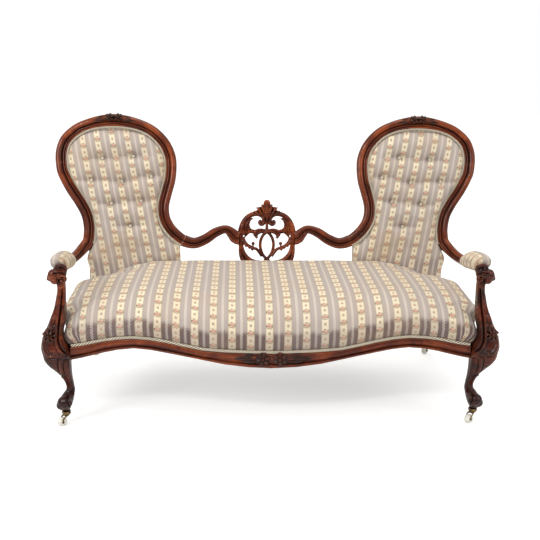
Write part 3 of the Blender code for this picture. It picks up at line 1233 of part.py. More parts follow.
def add_springs():
    """Waisted coil springs between the webbing and the seat's stuffing, each one unbroken wire."""
    least = None
    for row in range(SPRING_ROWS):
        y = FRONT_RAIL_Y + SEAT_CAVITY_WALL + SPRING_RADIUS * 1.7 + row * SPRING_PITCH_Y
        for column in range(SPRING_COLUMNS):
            x = (column - (SPRING_COLUMNS - 1) / 2) * SPRING_PITCH_X
            rim = [rail_under(x + SPRING_RADIUS * math.cos(a), y + SPRING_RADIUS * math.sin(a))
                   for a in (0, math.pi / 2, math.pi, 3 * math.pi / 2)]
            low = max(rim) + SPRING_WIRE
            high = SEAT_CAVITY_Z - FIT_GAP - SPRING_WIRE
            count = SPRING_TURNS * SPRING_POINTS_PER_TURN
            points = []
            for i in range(count + 1):
                share = i / count
                waist = SPRING_WAIST_SHARE + (1 - SPRING_WAIST_SHARE) * (2 * share - 1) ** 2
                angle = 2 * math.pi * i / SPRING_POINTS_PER_TURN
                radius = SPRING_RADIUS * waist
                z = low + (high - low) * share
                points.append((x + radius * math.cos(angle), y + radius * math.sin(angle), z))
            points = np.array(points)
            for i in range(count + 1 - SPRING_POINTS_PER_TURN // 2):
                later = points[i + SPRING_POINTS_PER_TURN // 2:]
                gap = float(np.linalg.norm(later - points[i], axis=1).min()) - 2 * SPRING_WIRE
                least = gap if least is None else min(least, gap)
            line = bpy.data.curves.new(f"seat_spring_{row}_{column}", "CURVE")
            line.dimensions = "3D"
            line.bevel_depth = SPRING_WIRE
            line.bevel_resolution = 0
            line.use_fill_caps = True
            spline = line.splines.new("POLY")
            spline.points.add(len(points) - 1)
            for target, point in zip(spline.points, points):
                target.co = (*(point - (x, y, low)), 1)
            line.materials.append(material_for(STEEL))
            piece = bpy.data.objects.new(f"seat_spring_{row + 1}_{column + 1}", line)
            piece.location = (x, y, low)
            piece.parent = SETTEE
            bpy.context.collection.objects.link(piece)
    print(f"least gap between a spring's turns: {least * 1000:.1f} mm")


def build():
    lines = moulding_lines()
    add_front_rail()
    add_rear_rail()
    add_side_rails()
    add_centre_brace()
    add_front_legs()
    add_arm_supports()
    add_rear_legs()
    add_inner_uprights()
    add_mouldings(lines)
    add_splat()
    add_castors()
    add_seat()
    add_back_cushions(lines)
    add_outside_backs(lines)
    add_arm_pads(lines)
    add_gimp()
    add_webbing()
    add_springs()


clear_scene()
SETTEE = bpy.data.objects.new("settee", None)
SETTEE.location = (0, -ORIGIN_BACK_Y, 0)
bpy.context.collection.objects.link(SETTEE)
build()
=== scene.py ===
"""Looks for the double spoon-back settee: polished carved wood, striped cloth, cord and castors.

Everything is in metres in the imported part's own frame. Right-hand pieces are made first and mirrored.
"""

import json
import math

import bmesh
import bpy
import numpy as np
from mathutils import Matrix, Vector


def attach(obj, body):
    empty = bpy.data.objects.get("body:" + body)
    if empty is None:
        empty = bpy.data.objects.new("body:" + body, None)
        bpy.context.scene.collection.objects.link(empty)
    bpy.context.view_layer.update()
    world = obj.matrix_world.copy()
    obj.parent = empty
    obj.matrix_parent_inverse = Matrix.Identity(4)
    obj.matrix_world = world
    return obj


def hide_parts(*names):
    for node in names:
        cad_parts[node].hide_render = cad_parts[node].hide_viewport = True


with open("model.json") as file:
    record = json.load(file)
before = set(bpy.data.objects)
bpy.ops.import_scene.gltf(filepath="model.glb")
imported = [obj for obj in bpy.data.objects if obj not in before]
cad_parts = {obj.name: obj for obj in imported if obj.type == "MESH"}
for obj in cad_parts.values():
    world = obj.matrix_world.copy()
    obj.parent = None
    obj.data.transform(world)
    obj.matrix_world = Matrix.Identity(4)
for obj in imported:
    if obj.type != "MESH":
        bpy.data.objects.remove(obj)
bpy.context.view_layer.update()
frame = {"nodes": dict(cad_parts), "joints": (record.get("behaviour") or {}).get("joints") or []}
NODES = frame["nodes"]

# The part's own sizes, repeated from its source
ORIGIN_BACK_Y = 0.0156
FIT_GAP = 0.0003
LAID_GAP = 0.0006
PAD_CLEARANCE = 0.0016
SEAT_HALF_WIDTH = 0.742
FRONT_RAIL_Y = -0.352
FRONT_RAIL_BOW = 0.033
FRONT_RAIL_THICKNESS = 0.050
RAIL_TOP_Z = 0.3135
RAIL_TOP_WAVE = 0.028
RAIL_UNDER_Z = 0.2665
RAIL_UNDER_WAVE = 0.038
REAR_TOP_Z = 0.3435
REAR_UNDER_Z = 0.2685
SHELF_Y = 0.165
BACK_BASE_Y = 0.235
BACK_BASE_Z = 0.4535
BACK_RECLINE = math.radians(16.0)
BACK_SPLAY = math.radians(6.0)
BACK_INNER_SET = 0.290
SIDE_RAIL_X = 0.749
UPRIGHT_OUT = 0.180
UPRIGHT_DEPTH = 0.028
UPRIGHT_TOP_DEPTH = 0.008
UPRIGHT_RISE = 0.192
HOOP_REACH = 0.300
HOOP_HEIGHT = 0.640
MOULDING_WIDTH = 0.050
MOULDING_DEPTH = 0.036
ARM_HEAD_Y = -0.335
ARM_HEAD_Z = 0.5835
ARM_HEAD_RADIUS = 0.040
ARM_HEAD_LENGTH = 0.076
ARM_HEAD_DROOP = 0.018
ARM_HEAD_LIFT = 0.010
ARM_HEAD_BEHIND = 0.028
ARM_HEAD_X = SEAT_HALF_WIDTH + 0.030
ARM_BACK_SET = 0.020
ARM_BOW = 0.033
ARM_DIP = 0.060
ARM_PAD_LENGTH = 0.333
ARM_PAD_WIDTH = 0.074
ARM_PAD_HEIGHT = 0.084
ARM_PAD_OUT = 0.005
LEG_TOP_Z = 0.3835
LEG_FOOT_Z = 0.0580
LEG_BACK_Y = -0.300
LEG_KNEE_WIDTH = 0.101
LEG_KNEE_DEPTH = 0.100
SPLAT_BACK_SET = 0.056
SPLAT_RECLINE = math.radians(10.0)
SPLAT_HALF_WIDTH = 0.127
SPLAT_HEIGHT = 0.288
SPLAT_BAND_WIDTH = 0.0170
SPLAT_STRAND_WIDTH = 0.0105
SPLAT_THICKNESS = 0.020
SEAT_CROWN_Z = 0.4935
SEAT_BULGE = 0.046
SEAT_CAVITY_Z = 0.4135
SEAT_CAVITY_WALL = 0.082
SEAT_FRONT_SET = 0.0150
SEAT_CORNER_SHARE = 0.009
SEAT_TONGUE = 0.0165
BACK_CROWN = 0.040
BACK_ROLL = 0.060
BACK_RIM = 0.005
BACK_SKIRT_FACE = 0.0115
PAD_SPREAD = 0.197
PAD_TOP_SET = 0.004
PAD_WAIST_LOOK = 0.008
PAD_WAIST_SHARE = 0.35
PAD_BOTTOM_Z = 0.3855
LINING_THICKNESS = 0.003
OUTSIDE_THICKNESS = 0.0035
OUTSIDE_CLOSE = 0.050
GIMP_RADIUS = 0.0055
FORK_REACH = 0.0118

BACK_CENTRE_X = SIDE_RAIL_X - UPRIGHT_OUT * math.cos(BACK_SPLAY)
BACK_INNER_X = BACK_CENTRE_X - BACK_INNER_SET
WOOD_BACK = -MOULDING_DEPTH / 2
BASE = Vector((BACK_CENTRE_X, BACK_BASE_Y, BACK_BASE_Z))
OUTWARD = Vector((math.cos(BACK_SPLAY), -math.sin(BACK_SPLAY), 0))
REARWARD = Vector((math.sin(BACK_SPLAY), math.cos(BACK_SPLAY), 0))
UP = Vector((0, 0, 1))
FACE = UP * math.sin(BACK_RECLINE) - REARWARD * math.cos(BACK_RECLINE)
UPWARD = UP * math.cos(BACK_RECLINE) + REARWARD * math.sin(BACK_RECLINE)

# The part's shapes, as shares of those sizes
RAIL_STATION_SHARES = [0, 0.12, 0.24, 0.345, 0.44, 0.53, 0.61, 0.69, 0.77, 0.84, 0.89, 0.945, 1.0]
RAIL_BOW_SHARES = [(0, 1.0), (0.27, 0.6), (0.61, -0.36), (0.84, -0.30), (1.0, 0)]
RAIL_TOP_SHARES = [(0, -0.56), (0.17, -0.53), (0.355, -0.32), (0.528, 0.50),
                   (0.69, 1.0), (0.81, 0.80), (0.89, 0.44), (0.945, 0.17), (1.0, 0)]
RAIL_UNDER_SHARES = [(0, -0.67), (0.17, -0.55), (0.355, 0.03), (0.528, 0.58),
                     (0.69, 1.0), (0.81, 0.74), (0.89, 0.38), (0.945, 0.14), (1.0, -0.05)]
WAIST_SHARES = [(-0.700, 0.184, 0.96), (-0.567, 0.234, 1.0), (-0.493, 0.278, 1.0), (-0.440, 0.331, 1.0),
                (-0.423, 0.383, 1.0), (-0.430, 0.434, 1.0), (-0.480, 0.520, 1.0), (-0.530, 0.602, 1.0),
                (-0.550, 0.695, 1.0)]
CREST_SHARES = [(-0.540, 0.753, 1.0), (-0.483, 0.825, 1.0), (-0.403, 0.878, 1.0), (-0.277, 0.931, 1.0),
                (-0.107, 0.969, 1.02), (0.083, 0.992, 1.10), (0.257, 1.0, 1.16), (0.433, 0.992, 1.08),
                (0.600, 0.973, 1.0), (0.763, 0.939, 1.0), (0.920, 0.872, 1.0), (0.980, 0.803, 1.0),
                (0.993, 0.745, 1.0), (0.990, 0.719, 1.0)]
STILE_SHARES = [(0.977, 0.666, 1.0), (0.937, 0.617, 1.0), (0.857, 0.542, 1.0), (0.750, 0.461, 1.0),
                (0.657, 0.370, 1.0), (0.627, 0.281, 1.0), (0.633, 0.234, 1.0), (0.647, 0.195, 1.0)]
LINK_END_SHARES = (0.998, 0.418)
LINK_RISE = 0.040
LINK_SHARES = [(0.0, 0.0, 0.70), (0.035, 0.03, 0.72), (0.10, 0.50, 0.76), (0.21, 1.0, 0.64),
               (0.40, 0.73, 0.76), (0.60, 0.02, 0.84), (0.80, -0.35, 0.88), (1.0, 0.0, 0.96)]
ARM_SHARES = [(0.0, 0.48, 0.80, 0.92, 0.5), (0.12, 0.85, 0.98, 0.84, 0.9), (0.28, 1.0, 0.92, 0.80, 1.0),
              (0.40, 0.84, 0.70, 0.78, 1.0), (0.46, 0.76, 0.60, 0.55, 1.0), (0.57, 0.55, 0.38, 0.50, 1.0),
              (0.70, 0.33, 0.10, 0.50, 1.0), (0.85, 0.15, -0.02, 0.50, 1.0), (1.0, 0.0, -0.02, 0.50, 1.0)]
ARM_PAD_START_SHARE = 0.42
ARM_FACE = Vector((-0.8, 0, 0.6))
ARM_PAD_SHARES = [(0.0, 0.60, 0.46, -0.01), (0.06, 0.74, 0.58, 0.0), (0.18, 0.84, 0.72, 0.02),
                  (0.38, 0.92, 0.86, 0.04), (0.60, 0.95, 0.91, 0.12), (0.80, 0.91, 0.85, 0.26),
                  (0.91, 0.80, 0.72, 0.37), (0.97, 0.60, 0.50, 0.44), (1.0, 0.26, 0.20, 0.48)]
FRONT_LEG_SHARES = [(1.0, 0.22, 0.87, 0.86, 0), (0.964, 0.22, 0.90, 0.88, 0), (0.883, 0.20, 0.97, 0.95, 0),
                    (0.807, 0.10, 1.0, 1.0, 0), (0.723, 0.02, 0.95, 1.0, 0), (0.668, 0.0, 0.92, 0.98, 0),
                    (0.594, 0.01, 0.78, 0.90, 0.02), (0.539, 0.02, 0.62, 0.80, 0.03),
                    (0.475, 0.03, 0.46, 0.68, 0.03), (0.389, 0.03, 0.33, 0.52, 0.02),
                    (0.324, 0.01, 0.28, 0.42, 0), (0.281, 0.0, 0.27, 0.38, -0.01),
                    (0.238, -0.02, 0.30, 0.42, -0.01), (0.217, -0.02, 0.36, 0.52, 0),
                    (0.161, 0.0, 0.50, 0.70, 0.03), (0.118, 0.03, 0.60, 0.76, 0.06),
                    (0.063, 0.09, 0.60, 0.70, 0.12), (0.011, 0.18, 0.42, 0.52, 0.22),
                    (0.0, 0.20, 0.40, 0.50, 0.24)]
ARM_STEM_SHARES = [(0.0, 0.22, 0.85, 0.85, 0.0), (0.12, 0.16, 0.74, 0.82, 0.02),
                   (0.25, 0.10, 0.63, 0.78, 0.05), (0.42, 0.08, 0.49, 0.72, 0.10),
                   (0.60, 0.07, 0.40, 0.67, 0.13), (0.76, 0.06, 0.34, 0.62, 0.15),
                   (0.90, 0.07, 0.37, 0.60, 0.16), (1.0, 0.08, 0.42, 0.56, 0.20)]
REAR_FOOT_SWEEP = 0.188
REAR_FOOT_RADIUS = 0.017
REAR_LEG_SHARES = [(0.25, 0.06, 1.16), (0.45, 0.19, 1.08), (0.65, 0.40, 0.98), (0.82, 0.66, 0.92),
                   (0.93, 0.87, 0.96), (1.0, 1.0, 1.0)]
SEAT_SIDE_SHARES = [(0.948, 0.40, 0.90), (0.965, 0.80, 0.83), (0.980, 1.0, 0.72), (0.990, 0.84, 0.50),
                    (0.997, 0.45, 0.20), (1.0, 0.0, 0.0)]
SEAT_FLANK_SHARES = [(0.0, 1.0), (0.50, 1.0), (0.67, 0.99), (0.84, 0.965), (0.917, 0.935)]
SEAT_ROW_SHARES = [(0.0, 0.0, 0.0), (-0.026, 0.16, 0.30), (-0.0445, 0.34, 0.70), (-0.0375, 0.52, 0.70),
                   (-0.0075, 0.68, 0.62), (0.056, 0.81, 0.56), (0.14, 0.90, 1.0), (0.257, 0.96, 1.0),
                   (0.413, 0.99, 1.0), (0.59, 1.0, 1.0), (0.80, 1.0, 1.0), (1.0, 0.99, 1.0)]
SEAT_REAR_SHARES = [(0.965, 0.9), (0.60, 0.7), (0.26, 0.3)]
SKIRT_SHARES = [(0.0, 0.97), (0.07, 1.03), (0.10, 1.01), (0.13, 0.955), (0.19, 0.85)]
TUFT_SHARES = [(0.420, 0.750), (-0.020, 0.762), (0.580, 0.605), (0.153, 0.594), (-0.263, 0.625),
               (0.310, 0.448), (-0.110, 0.461), (0.053, 0.294)]
PAD_EDGE_SHARES = (-0.5, 0.28)
SCROLL_SHARES = [(0.262, 0.672), (0.250, 0.640), (0.195, 0.624), (0.125, 0.638), (0.096, 0.684),
                 (0.138, 0.737), (0.228, 0.772), (0.363, 0.786), (0.514, 0.775), (0.664, 0.735),
                 (0.784, 0.672), (0.866, 0.592), (0.904, 0.500), (0.911, 0.400), (0.896, 0.307),
                 (0.859, 0.228), (0.784, 0.162), (0.679, 0.109), (0.529, 0.069), (0.303, 0.049),
                 (-0.040, 0.046)]
SCROLL_WIDTH_SHARES = [0.40, 0.50, 0.62, 0.72, 0.80, 0.88, 0.94, 1.0, 1.0, 1.0, 1.0, 1.0, 1.0, 1.0, 1.0,
                       0.96, 0.90, 0.80, 0.66, 0.54, 0.50]
EYE_SHARES = (0.236, 0.672)
OUTER_STRAND_SHARES = [(0.925, 0.300), (0.905, 0.188), (0.850, 0.102), (0.760, 0.036), (0.640, -0.030)]
VESICA_SHARES = [(0.087, 0.066), (-0.063, 0.122), (-0.153, 0.175), (-0.216, 0.254), (-0.231, 0.334),
                 (-0.183, 0.420), (-0.078, 0.486), (0.057, 0.516), (0.207, 0.510), (0.327, 0.483),
                 (0.375, 0.447), (0.330, 0.413)]
BRANCH_SHARES = [(0.840, 0.430), (0.780, 0.362), (0.661, 0.307), (0.495, 0.268), (0.360, 0.248),
                 (0.255, 0.195), (0.165, 0.137)]
BERRY_SHARES = [(0.480, 0.262), (0.476, 0.334)]
LEAF_SHARES = [(0.450, 0.718), (0.559, 0.679), (0.600, 0.626), (0.578, 0.579), (0.518, 0.553),
               (0.420, 0.543), (0.170, 0.545), (0.170, 0.520), (0.375, 0.508), (0.495, 0.486),
               (0.589, 0.490), (0.661, 0.463), (0.743, 0.427), (0.800, 0.466), (0.860, 0.520),
               (0.870, 0.586), (0.810, 0.662), (0.660, 0.725)]
FINIAL_SHARES = [(0.0, 1.0), (0.068, 0.994), (0.117, 0.960), (0.120, 0.924), (0.195, 0.930),
                 (0.240, 0.894), (0.383, 0.891), (0.405, 0.867), (0.330, 0.851), (0.495, 0.834),
                 (0.518, 0.812), (0.375, 0.780), (0.225, 0.765), (0.090, 0.720), (0.0, 0.690)]
STEM_SHARES = [(0.0, 0.720), (0.0, 0.620), (0.0, 0.505)]
FOOT_SHARES = [(0.75, 0.030), (0.62, -0.100), (0.42, -0.160)]

# The camera as fitted to the photograph, its place seen from the right-hand pieces, and the upright plane
# that the carving was read on
CAMERA_PLACE = (-0.1341, -3.166, 1.3880)
CAMERA_YAW = math.radians(2.4752)
CAMERA_PITCH = math.radians(15.5169)
CAMERA_ROLL = math.radians(0.6678)
CAMERA_FOCAL_PIXELS = 808.06
PHOTO_PIXELS = 540
EYE = (-CAMERA_PLACE[0], CAMERA_PLACE[1] + ORIGIN_BACK_Y, CAMERA_PLACE[2])
FEATURE_PLANE_Y = -0.400 + ORIGIN_BACK_Y

# Finer sections for the look
MOULDING_LOOK = [(-0.50, -0.50), (0.36, -0.50), (0.47, -0.40), (0.50, -0.26), (0.50, 0.02), (0.495, 0.14),
                 (0.47, 0.27), (0.42, 0.38), (0.34, 0.46), (0.24, 0.50), (0.14, 0.49), (0.05, 0.43),
                 (-0.01, 0.34), (-0.045, 0.22), (-0.07, 0.17), (-0.10, 0.20), (-0.13, 0.26),
                 (-0.17, 0.285), (-0.21, 0.27), (-0.235, 0.21), (-0.255, 0.185), (-0.28, 0.21),
                 (-0.32, 0.275), (-0.37, 0.29), (-0.42, 0.26), (-0.455, 0.18), (-0.475, 0.10),
                 (-0.50, 0.0)]
RAIL_LOOK = [(0.02, 1.0), (0.0, 0.985), (-0.01, 0.955), (0.0, 0.92), (0.03, 0.905), (0.03, 0.87),
             (0.01, 0.80), (0.0, 0.70), (0.01, 0.60), (0.05, 0.47), (0.11, 0.36), (0.15, 0.30),
             (0.155, 0.26), (0.11, 0.235), (0.06, 0.21), (0.03, 0.16), (0.03, 0.10), (0.06, 0.045),
             (0.11, 0.01), (0.16, 0.0)]
BAND_LOOK = [(-0.50, -0.34), (-0.38, -0.50), (0.38, -0.50), (0.50, -0.34), (0.52, 0.05), (0.50, 0.16),
             (0.42, 0.18), (0.36, 0.13), (0.31, 0.20), (0.22, 0.38), (0.08, 0.49), (-0.08, 0.49),
             (-0.22, 0.38), (-0.31, 0.20), (-0.36, 0.13), (-0.42, 0.18), (-0.50, 0.16), (-0.52, 0.05)]

# How far each link rail is let into the splat's edge
LINK_TENON = 0.0045

# The sprung seat settles a little under its drawn crown
SEAT_EASE = 0.005

# How much of its height the seat loses at its rounded rear corners
CORNER_DROP_SHARE = 0.55

# The cloth: stripe repeat across, sprig repeat along
STRIPE_REPEAT = 0.0683
SPRIG_REPEAT = 0.0566
BACK_STRIPE_SHARE = 0.922
SEAT_STRIPE_SHIFT = 0.0135
BACK_STRIPE_SHIFT = -0.040
STRIPE_LEAN = math.tan(math.radians(8.8))
STRIPE_LEAN_HEIGHT = 0.30


# Lines and rows

CURVE_STEPS = 16


def run_along(points):
    """How far along a line each of its points is."""
    points = np.array([tuple(point) for point in points])
    return np.concatenate([[0], np.cumsum(np.linalg.norm(np.diff(points, axis=0), axis=1))])


def with_ends(rows):
    """Rows with one more at each end, in line with the last two."""
    return np.vstack([2 * rows[0] - rows[1], rows, 2 * rows[-1] - rows[-2]])


def curve_through(rows, reach, steps):
    """A centripetal Catmull-Rom curve through all rows but the first and the last, which only steer it."""
    knots = np.concatenate([[0], np.cumsum(np.sqrt(np.maximum(reach, 1e-9)))])
    result = []
    for i in range(1, len(rows) - 2):
        times = np.linspace(knots[i], knots[i + 1], steps, endpoint=False)[:, None]
        k0, k1, k2, k3 = knots[i - 1:i + 3]
        p0, p1, p2, p3 = rows[i - 1:i + 3]
        a1 = p0 + (p1 - p0) * (times - k0) / (k1 - k0)
        a2 = p1 + (p2 - p1) * (times - k1) / (k2 - k1)
        a3 = p2 + (p3 - p2) * (times - k2) / (k3 - k2)
        b1 = a1 + (a2 - a1) * (times - k0) / (k2 - k0)
        b2 = a2 + (a3 - a2) * (times - k1) / (k3 - k1)
        result.append(b1 + (b2 - b1) * (times - k1) / (k2 - k1))
    return np.vstack([*result, rows[-2:-1]])


def smooth_rows(rows, steps=CURVE_STEPS, axes=3):
    """Rows on a smooth curve, with so many steps between each two given rows."""
    rows = with_ends(np.array(rows, dtype=float))
    return curve_through(rows, np.linalg.norm(np.diff(rows[:, :axes], axis=0), axis=1), steps)


def smooth_grid(grid, steps, axis):
    """A grid of points refined along one axis by the same kind of curve."""
    grid = np.moveaxis(np.array(grid, float), axis, 0)
    flat = with_ends(grid.reshape(len(grid), -1))
    reach = np.linalg.norm(np.diff(flat, axis=0).reshape(len(flat) - 1, -1, grid.shape[-1]), axis=2).mean(1)
    return np.moveaxis(curve_through(flat, reach, steps).reshape(-1, *grid.shape[1:]), 0, axis)


def even_rows(dense, count, axes=3):
    """So many rows spaced evenly along a dense line."""
    along = run_along(dense[:, :axes])
    wanted = np.linspace(0, along[-1], count)
    return np.column_stack([np.interp(wanted, along, column) for column in dense.T])


def line_length(dense, axes=3):
    return float(run_along(dense[:, :axes])[-1])


def wave_table(shares):
    dense = smooth_rows(shares, steps=24, axes=1)
    return dense[:, 0], dense[:, 1]


def wave(shares, at):
    return float(np.interp(at, *wave_table(shares)))


def clamped(value, low=0.0, high=1.0):
    return min(max(value, low), high)


# Places on the part, as its source works them out

STATION_TABLES = {}
for key, shares in (("bow", RAIL_BOW_SHARES), ("top", RAIL_TOP_SHARES), ("under", RAIL_UNDER_SHARES)):
    STATION_TABLES[key] = [wave(shares, share) for share in RAIL_STATION_SHARES]


def station_value(key, x):
    at = np.minimum(np.abs(x) / SEAT_HALF_WIDTH, 1)
    return np.interp(at, RAIL_STATION_SHARES, STATION_TABLES[key])


def front_line(x):
    return FRONT_RAIL_Y - FRONT_RAIL_BOW * station_value("bow", x)


def rail_run(x, y):
    front = front_line(x)
    return np.minimum((y - front) / (SHELF_Y - front), 1)


def rail_top(x, y):
    front = RAIL_TOP_Z + RAIL_TOP_WAVE * station_value("top", x)
    return front + (REAR_TOP_Z - front) * rail_run(x, y)


def rail_under(x, y):
    front = RAIL_UNDER_Z + RAIL_UNDER_WAVE * station_value("under", x)
    return front + (REAR_UNDER_Z - front) * rail_run(x, y)


def on_back(across, height, proud):
    rise = height - BACK_BASE_Z
    depth = rise * math.tan(BACK_RECLINE) - proud / math.cos(BACK_RECLINE)
    return BASE + OUTWARD * across + REARWARD * depth + UP * rise


def in_back_plane(across, up, proud=0.0):
    return BASE + OUTWARD * across + UPWARD * up + FACE * proud


def back_y(x, height, proud):
    x = max(abs(x), BACK_INNER_X)
    across = FACE.x * (x - BASE.x) + FACE.z * (height - BASE.z)
    return BASE.y + (proud - across) / FACE.y


def splat_point(across_share, up_share, proud=0.0):
    up = up_share * SPLAT_HEIGHT
    lean, rise = math.sin(SPLAT_RECLINE), math.cos(SPLAT_RECLINE)
    back = BACK_BASE_Y + SPLAT_BACK_SET
    return Vector((across_share * SPLAT_HALF_WIDTH, back + up * lean - proud * rise,
                   BACK_BASE_Z + up * rise + proud * lean))


# Meshes


def mesh_object(name, points, faces, material, uvs=None, smooth=40.0, shade=None, mirror=False):
    """A piece from points in the source's space, with a UV per point."""
    points = np.array(points, float)
    points[:, 1] -= ORIGIN_BACK_Y
    if mirror:
        points[:, 0] *= -1
        faces = [face[::-1] for face in faces]
    mesh = bpy.data.meshes.new(name)
    mesh.from_pydata([tuple(p) for p in points], [], [tuple(face) for face in faces])
    mesh.validate()
    if uvs is not None:
        uvs = np.array(uvs, float)
        layer = mesh.uv_layers.new(name="grain")
        loops = np.empty(len(mesh.loops), int)
        mesh.loops.foreach_get("vertex_index", loops)
        layer.data.foreach_set("uv", uvs[loops].astype(np.float32).ravel())
    if shade is not None:
        attribute = mesh.attributes.new("shade", "FLOAT", "POINT")
        attribute.data.foreach_set("value", np.array(shade, np.float32))
    mesh.shade_smooth()
    mesh.set_sharp_from_angle(angle=math.radians(smooth))
    mesh.materials.append(material)
    piece = bpy.data.objects.new(name, mesh)
    bpy.context.scene.collection.objects.link(piece)
    return piece


def pair(name, points, faces, material, nodes=(), slot=None, **options):
    """The right-hand piece and its mirrored twin, each standing for its own nodes."""
    made = []
    for side, mirror in (("right", False), ("left", True)):
        piece = mesh_object(f"{name}_{side}", points, faces, material, mirror=mirror, **options)
        settle(piece, [f"{node}_{side}" for node in nodes])
        made.append(piece)
    return made


def settle(piece, nodes=(), body="frame"):
    """Ties a piece to its body and hides the nodes that it stands for."""
    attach(piece, body)
    if nodes:
        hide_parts(*nodes)


def single(name, points, faces, material, nodes=(), slot=None, body="frame", **options):
    piece = mesh_object(name, points, faces, material, **options)
    settle(piece, nodes, body)
    return piece


def face_outwards(mesh):
    body = bmesh.new()
    body.from_mesh(mesh)
    bmesh.ops.recalc_face_normals(body, faces=body.faces)
    body.to_mesh(mesh)
    body.free()


def evaluated(piece):
    """A piece's mesh with its modifiers applied."""
    bpy.context.view_layer.update()
    graph = bpy.context.evaluated_depsgraph_get()
    return bpy.data.meshes.new_from_object(piece.evaluated_get(graph))


def read_rows(mesh, key="co"):
    """One row for each point of a mesh: its place, or its normal."""
    values = np.empty(len(mesh.vertices) * 3, np.float32)
    mesh.vertices.foreach_get(key, values)
    return values.reshape(-1, 3).astype(float)


def ring_faces(rows, count):
    """Faces of a capped loft through rings of equal count whose points follow one another."""
    faces = []
    for a in range(0, (rows - 1) * count, count):
        for i in range(count):
            j = (i + 1) % count
            faces.append((a + i, a + j, a + count + j, a + count + i))
    faces.append(tuple(range(count))[::-1])
    faces.append(tuple(range((rows - 1) * count, rows * count)))
    return faces


# A carved leaf: its spread along its length, and its section, whose rib a ridge lifts
PETAL_SPREAD = [(0.0, 0.25), (0.15, 0.60), (0.35, 0.92), (0.55, 1.0), (0.75, 0.86), (0.90, 0.52),
                (1.0, 0.12)]
PETAL_RIB = 0.12
PETAL_SECTION = [(-1, 0), (-0.55, 0.62), (-PETAL_RIB, 0.5), (PETAL_RIB, 0.5), (0.55, 0.62), (1, 0),
                 (0.6, -0.6), (-0.6, -0.6)]


class Heap:
    """Several closed bodies gathered into one list of points and faces."""

    def __init__(self):
        self.points = []
        self.faces = []

    def add(self, points, faces):
        start = len(self.points)
        self.points += [tuple(p) for p in points]
        self.faces += [tuple(start + i for i in face) for face in faces]

    def loft(self, rings):
        count = len(rings[0])
        self.add([p for ring in rings for p in ring], ring_faces(len(rings), count))

    def ball(self, centre, radii, axes=None, segments=16, rings=10):
        axes = axes or (Vector((1, 0, 0)), Vector((0, 1, 0)), Vector((0, 0, 1)))
        loops = []
        for r in range(1, rings):
            tilt = math.pi * r / rings
            turns = [2 * math.pi * s / segments for s in range(segments)]
            loops.append([centre + axes[0] * radii[0] * math.sin(tilt) * math.cos(turn)
                          + axes[1] * radii[1] * math.sin(tilt) * math.sin(turn)
                          + axes[2] * radii[2] * math.cos(tilt) for turn in turns])
        self.loft(loops)

    def tube(self, line, radius, sides=10, flat=1.0, normal=None):
        """A round bar on a line of points; radius is one number or one per point."""
        line = [Vector(p) for p in line]
        radii = radius if hasattr(radius, "__len__") else [radius] * len(line)
        side = normal or Vector((0, -1, 0))
        loops = []
        for i, point in enumerate(line):
            ahead = line[min(i + 1, len(line) - 1)] - line[max(i - 1, 0)]
            ahead.normalize()
            across = ahead.cross(side)
            if across.length < 1e-6:
                across = ahead.cross(Vector((1, 0, 0)))
            across.normalize()
            lift = across.cross(ahead).normalized()
            loops.append([point + across * radii[i] * math.cos(2 * math.pi * k / sides)
                          + lift * radii[i] * flat * math.sin(2 * math.pi * k / sides) for k in range(sides)])
        self.loft(loops)

    def petal(self, root, along, normal, length, width, thick, curl=0.35, ridge=0.0):
        """A leaf that starts at its root, widens, and curls up or down along its normal."""
        along, normal = along.normalized(), normal.normalized()
        across = along.cross(normal).normalized()
        loops = []
        for run, spread in PETAL_SPREAD:
            centre = root + along * length * run + normal * length * curl * (run * (1 - run) * 2 - run * 0.3)
            half = width / 2 * spread
            high = thick * (0.35 + 0.65 * spread)
            loops.append([centre + across * half * a + normal * high * (b + ridge * (abs(a) == PETAL_RIB))
                          for a, b in PETAL_SECTION])
        self.loft(loops)

    def remeshed(self, voxel, smooth):
        """One carved-looking skin round everything: its points, their normals and its faces."""
        mesh = bpy.data.meshes.new("heap")
        mesh.from_pydata(self.points, [], self.faces)
        face_outwards(mesh)
        piece = bpy.data.objects.new("heap", mesh)
        bpy.context.scene.collection.objects.link(piece)
        step = piece.modifiers.new("skin", "REMESH")
        step.mode = "VOXEL"
        step.voxel_size = voxel
        step = piece.modifiers.new("soften", "SMOOTH")
        step.iterations = smooth
        fine = evaluated(piece)
        points, normals = read_rows(fine), read_rows(fine, "normal")
        faces = [tuple(face.vertices) for face in fine.polygons]
        bpy.data.objects.remove(piece)
        bpy.data.meshes.remove(fine)
        return points, normals, faces


def near_line(flat, line):
    """Distance of each flat point from a line of points."""
    line = np.array(line, float)
    best = np.full(len(flat), 1e9)
    for a, b in zip(line, line[1:]):
        d = b - a
        t = np.clip(((flat - a) @ d) / max(d @ d, 1e-12), 0, 1)
        best = np.minimum(best, np.linalg.norm(flat - (a + t[:, None] * d), axis=1))
    return best


def carve(points, normals, strokes, eye=None, plane=0.0, soft=0.35):
    """Raises or sinks the skin along strokes drawn in a front view: each is (line, width, height).

    With an eye, the strokes are places on an upright plane as seen from that eye.
    """
    weight = np.clip(-normals[:, 1] / soft, 0, 1)
    drawn = points[:, (0, 2)]
    if eye is not None:
        eye = np.array(eye)
        drawn = eye[[0, 2]] + (drawn - eye[[0, 2]]) * ((plane - eye[1]) / (points[:, 1] - eye[1]))[:, None]
    moved = np.zeros(len(points))
    for line, width, height in strokes:
        dense = smooth_rows(line, steps=6, axes=2) if len(line) > 2 else np.array(line, float)
        gap = near_line(drawn, dense)
        moved += height * np.exp(-(gap / (width / 2)) ** 2)
    return points + normals * (moved * weight)[:, None]


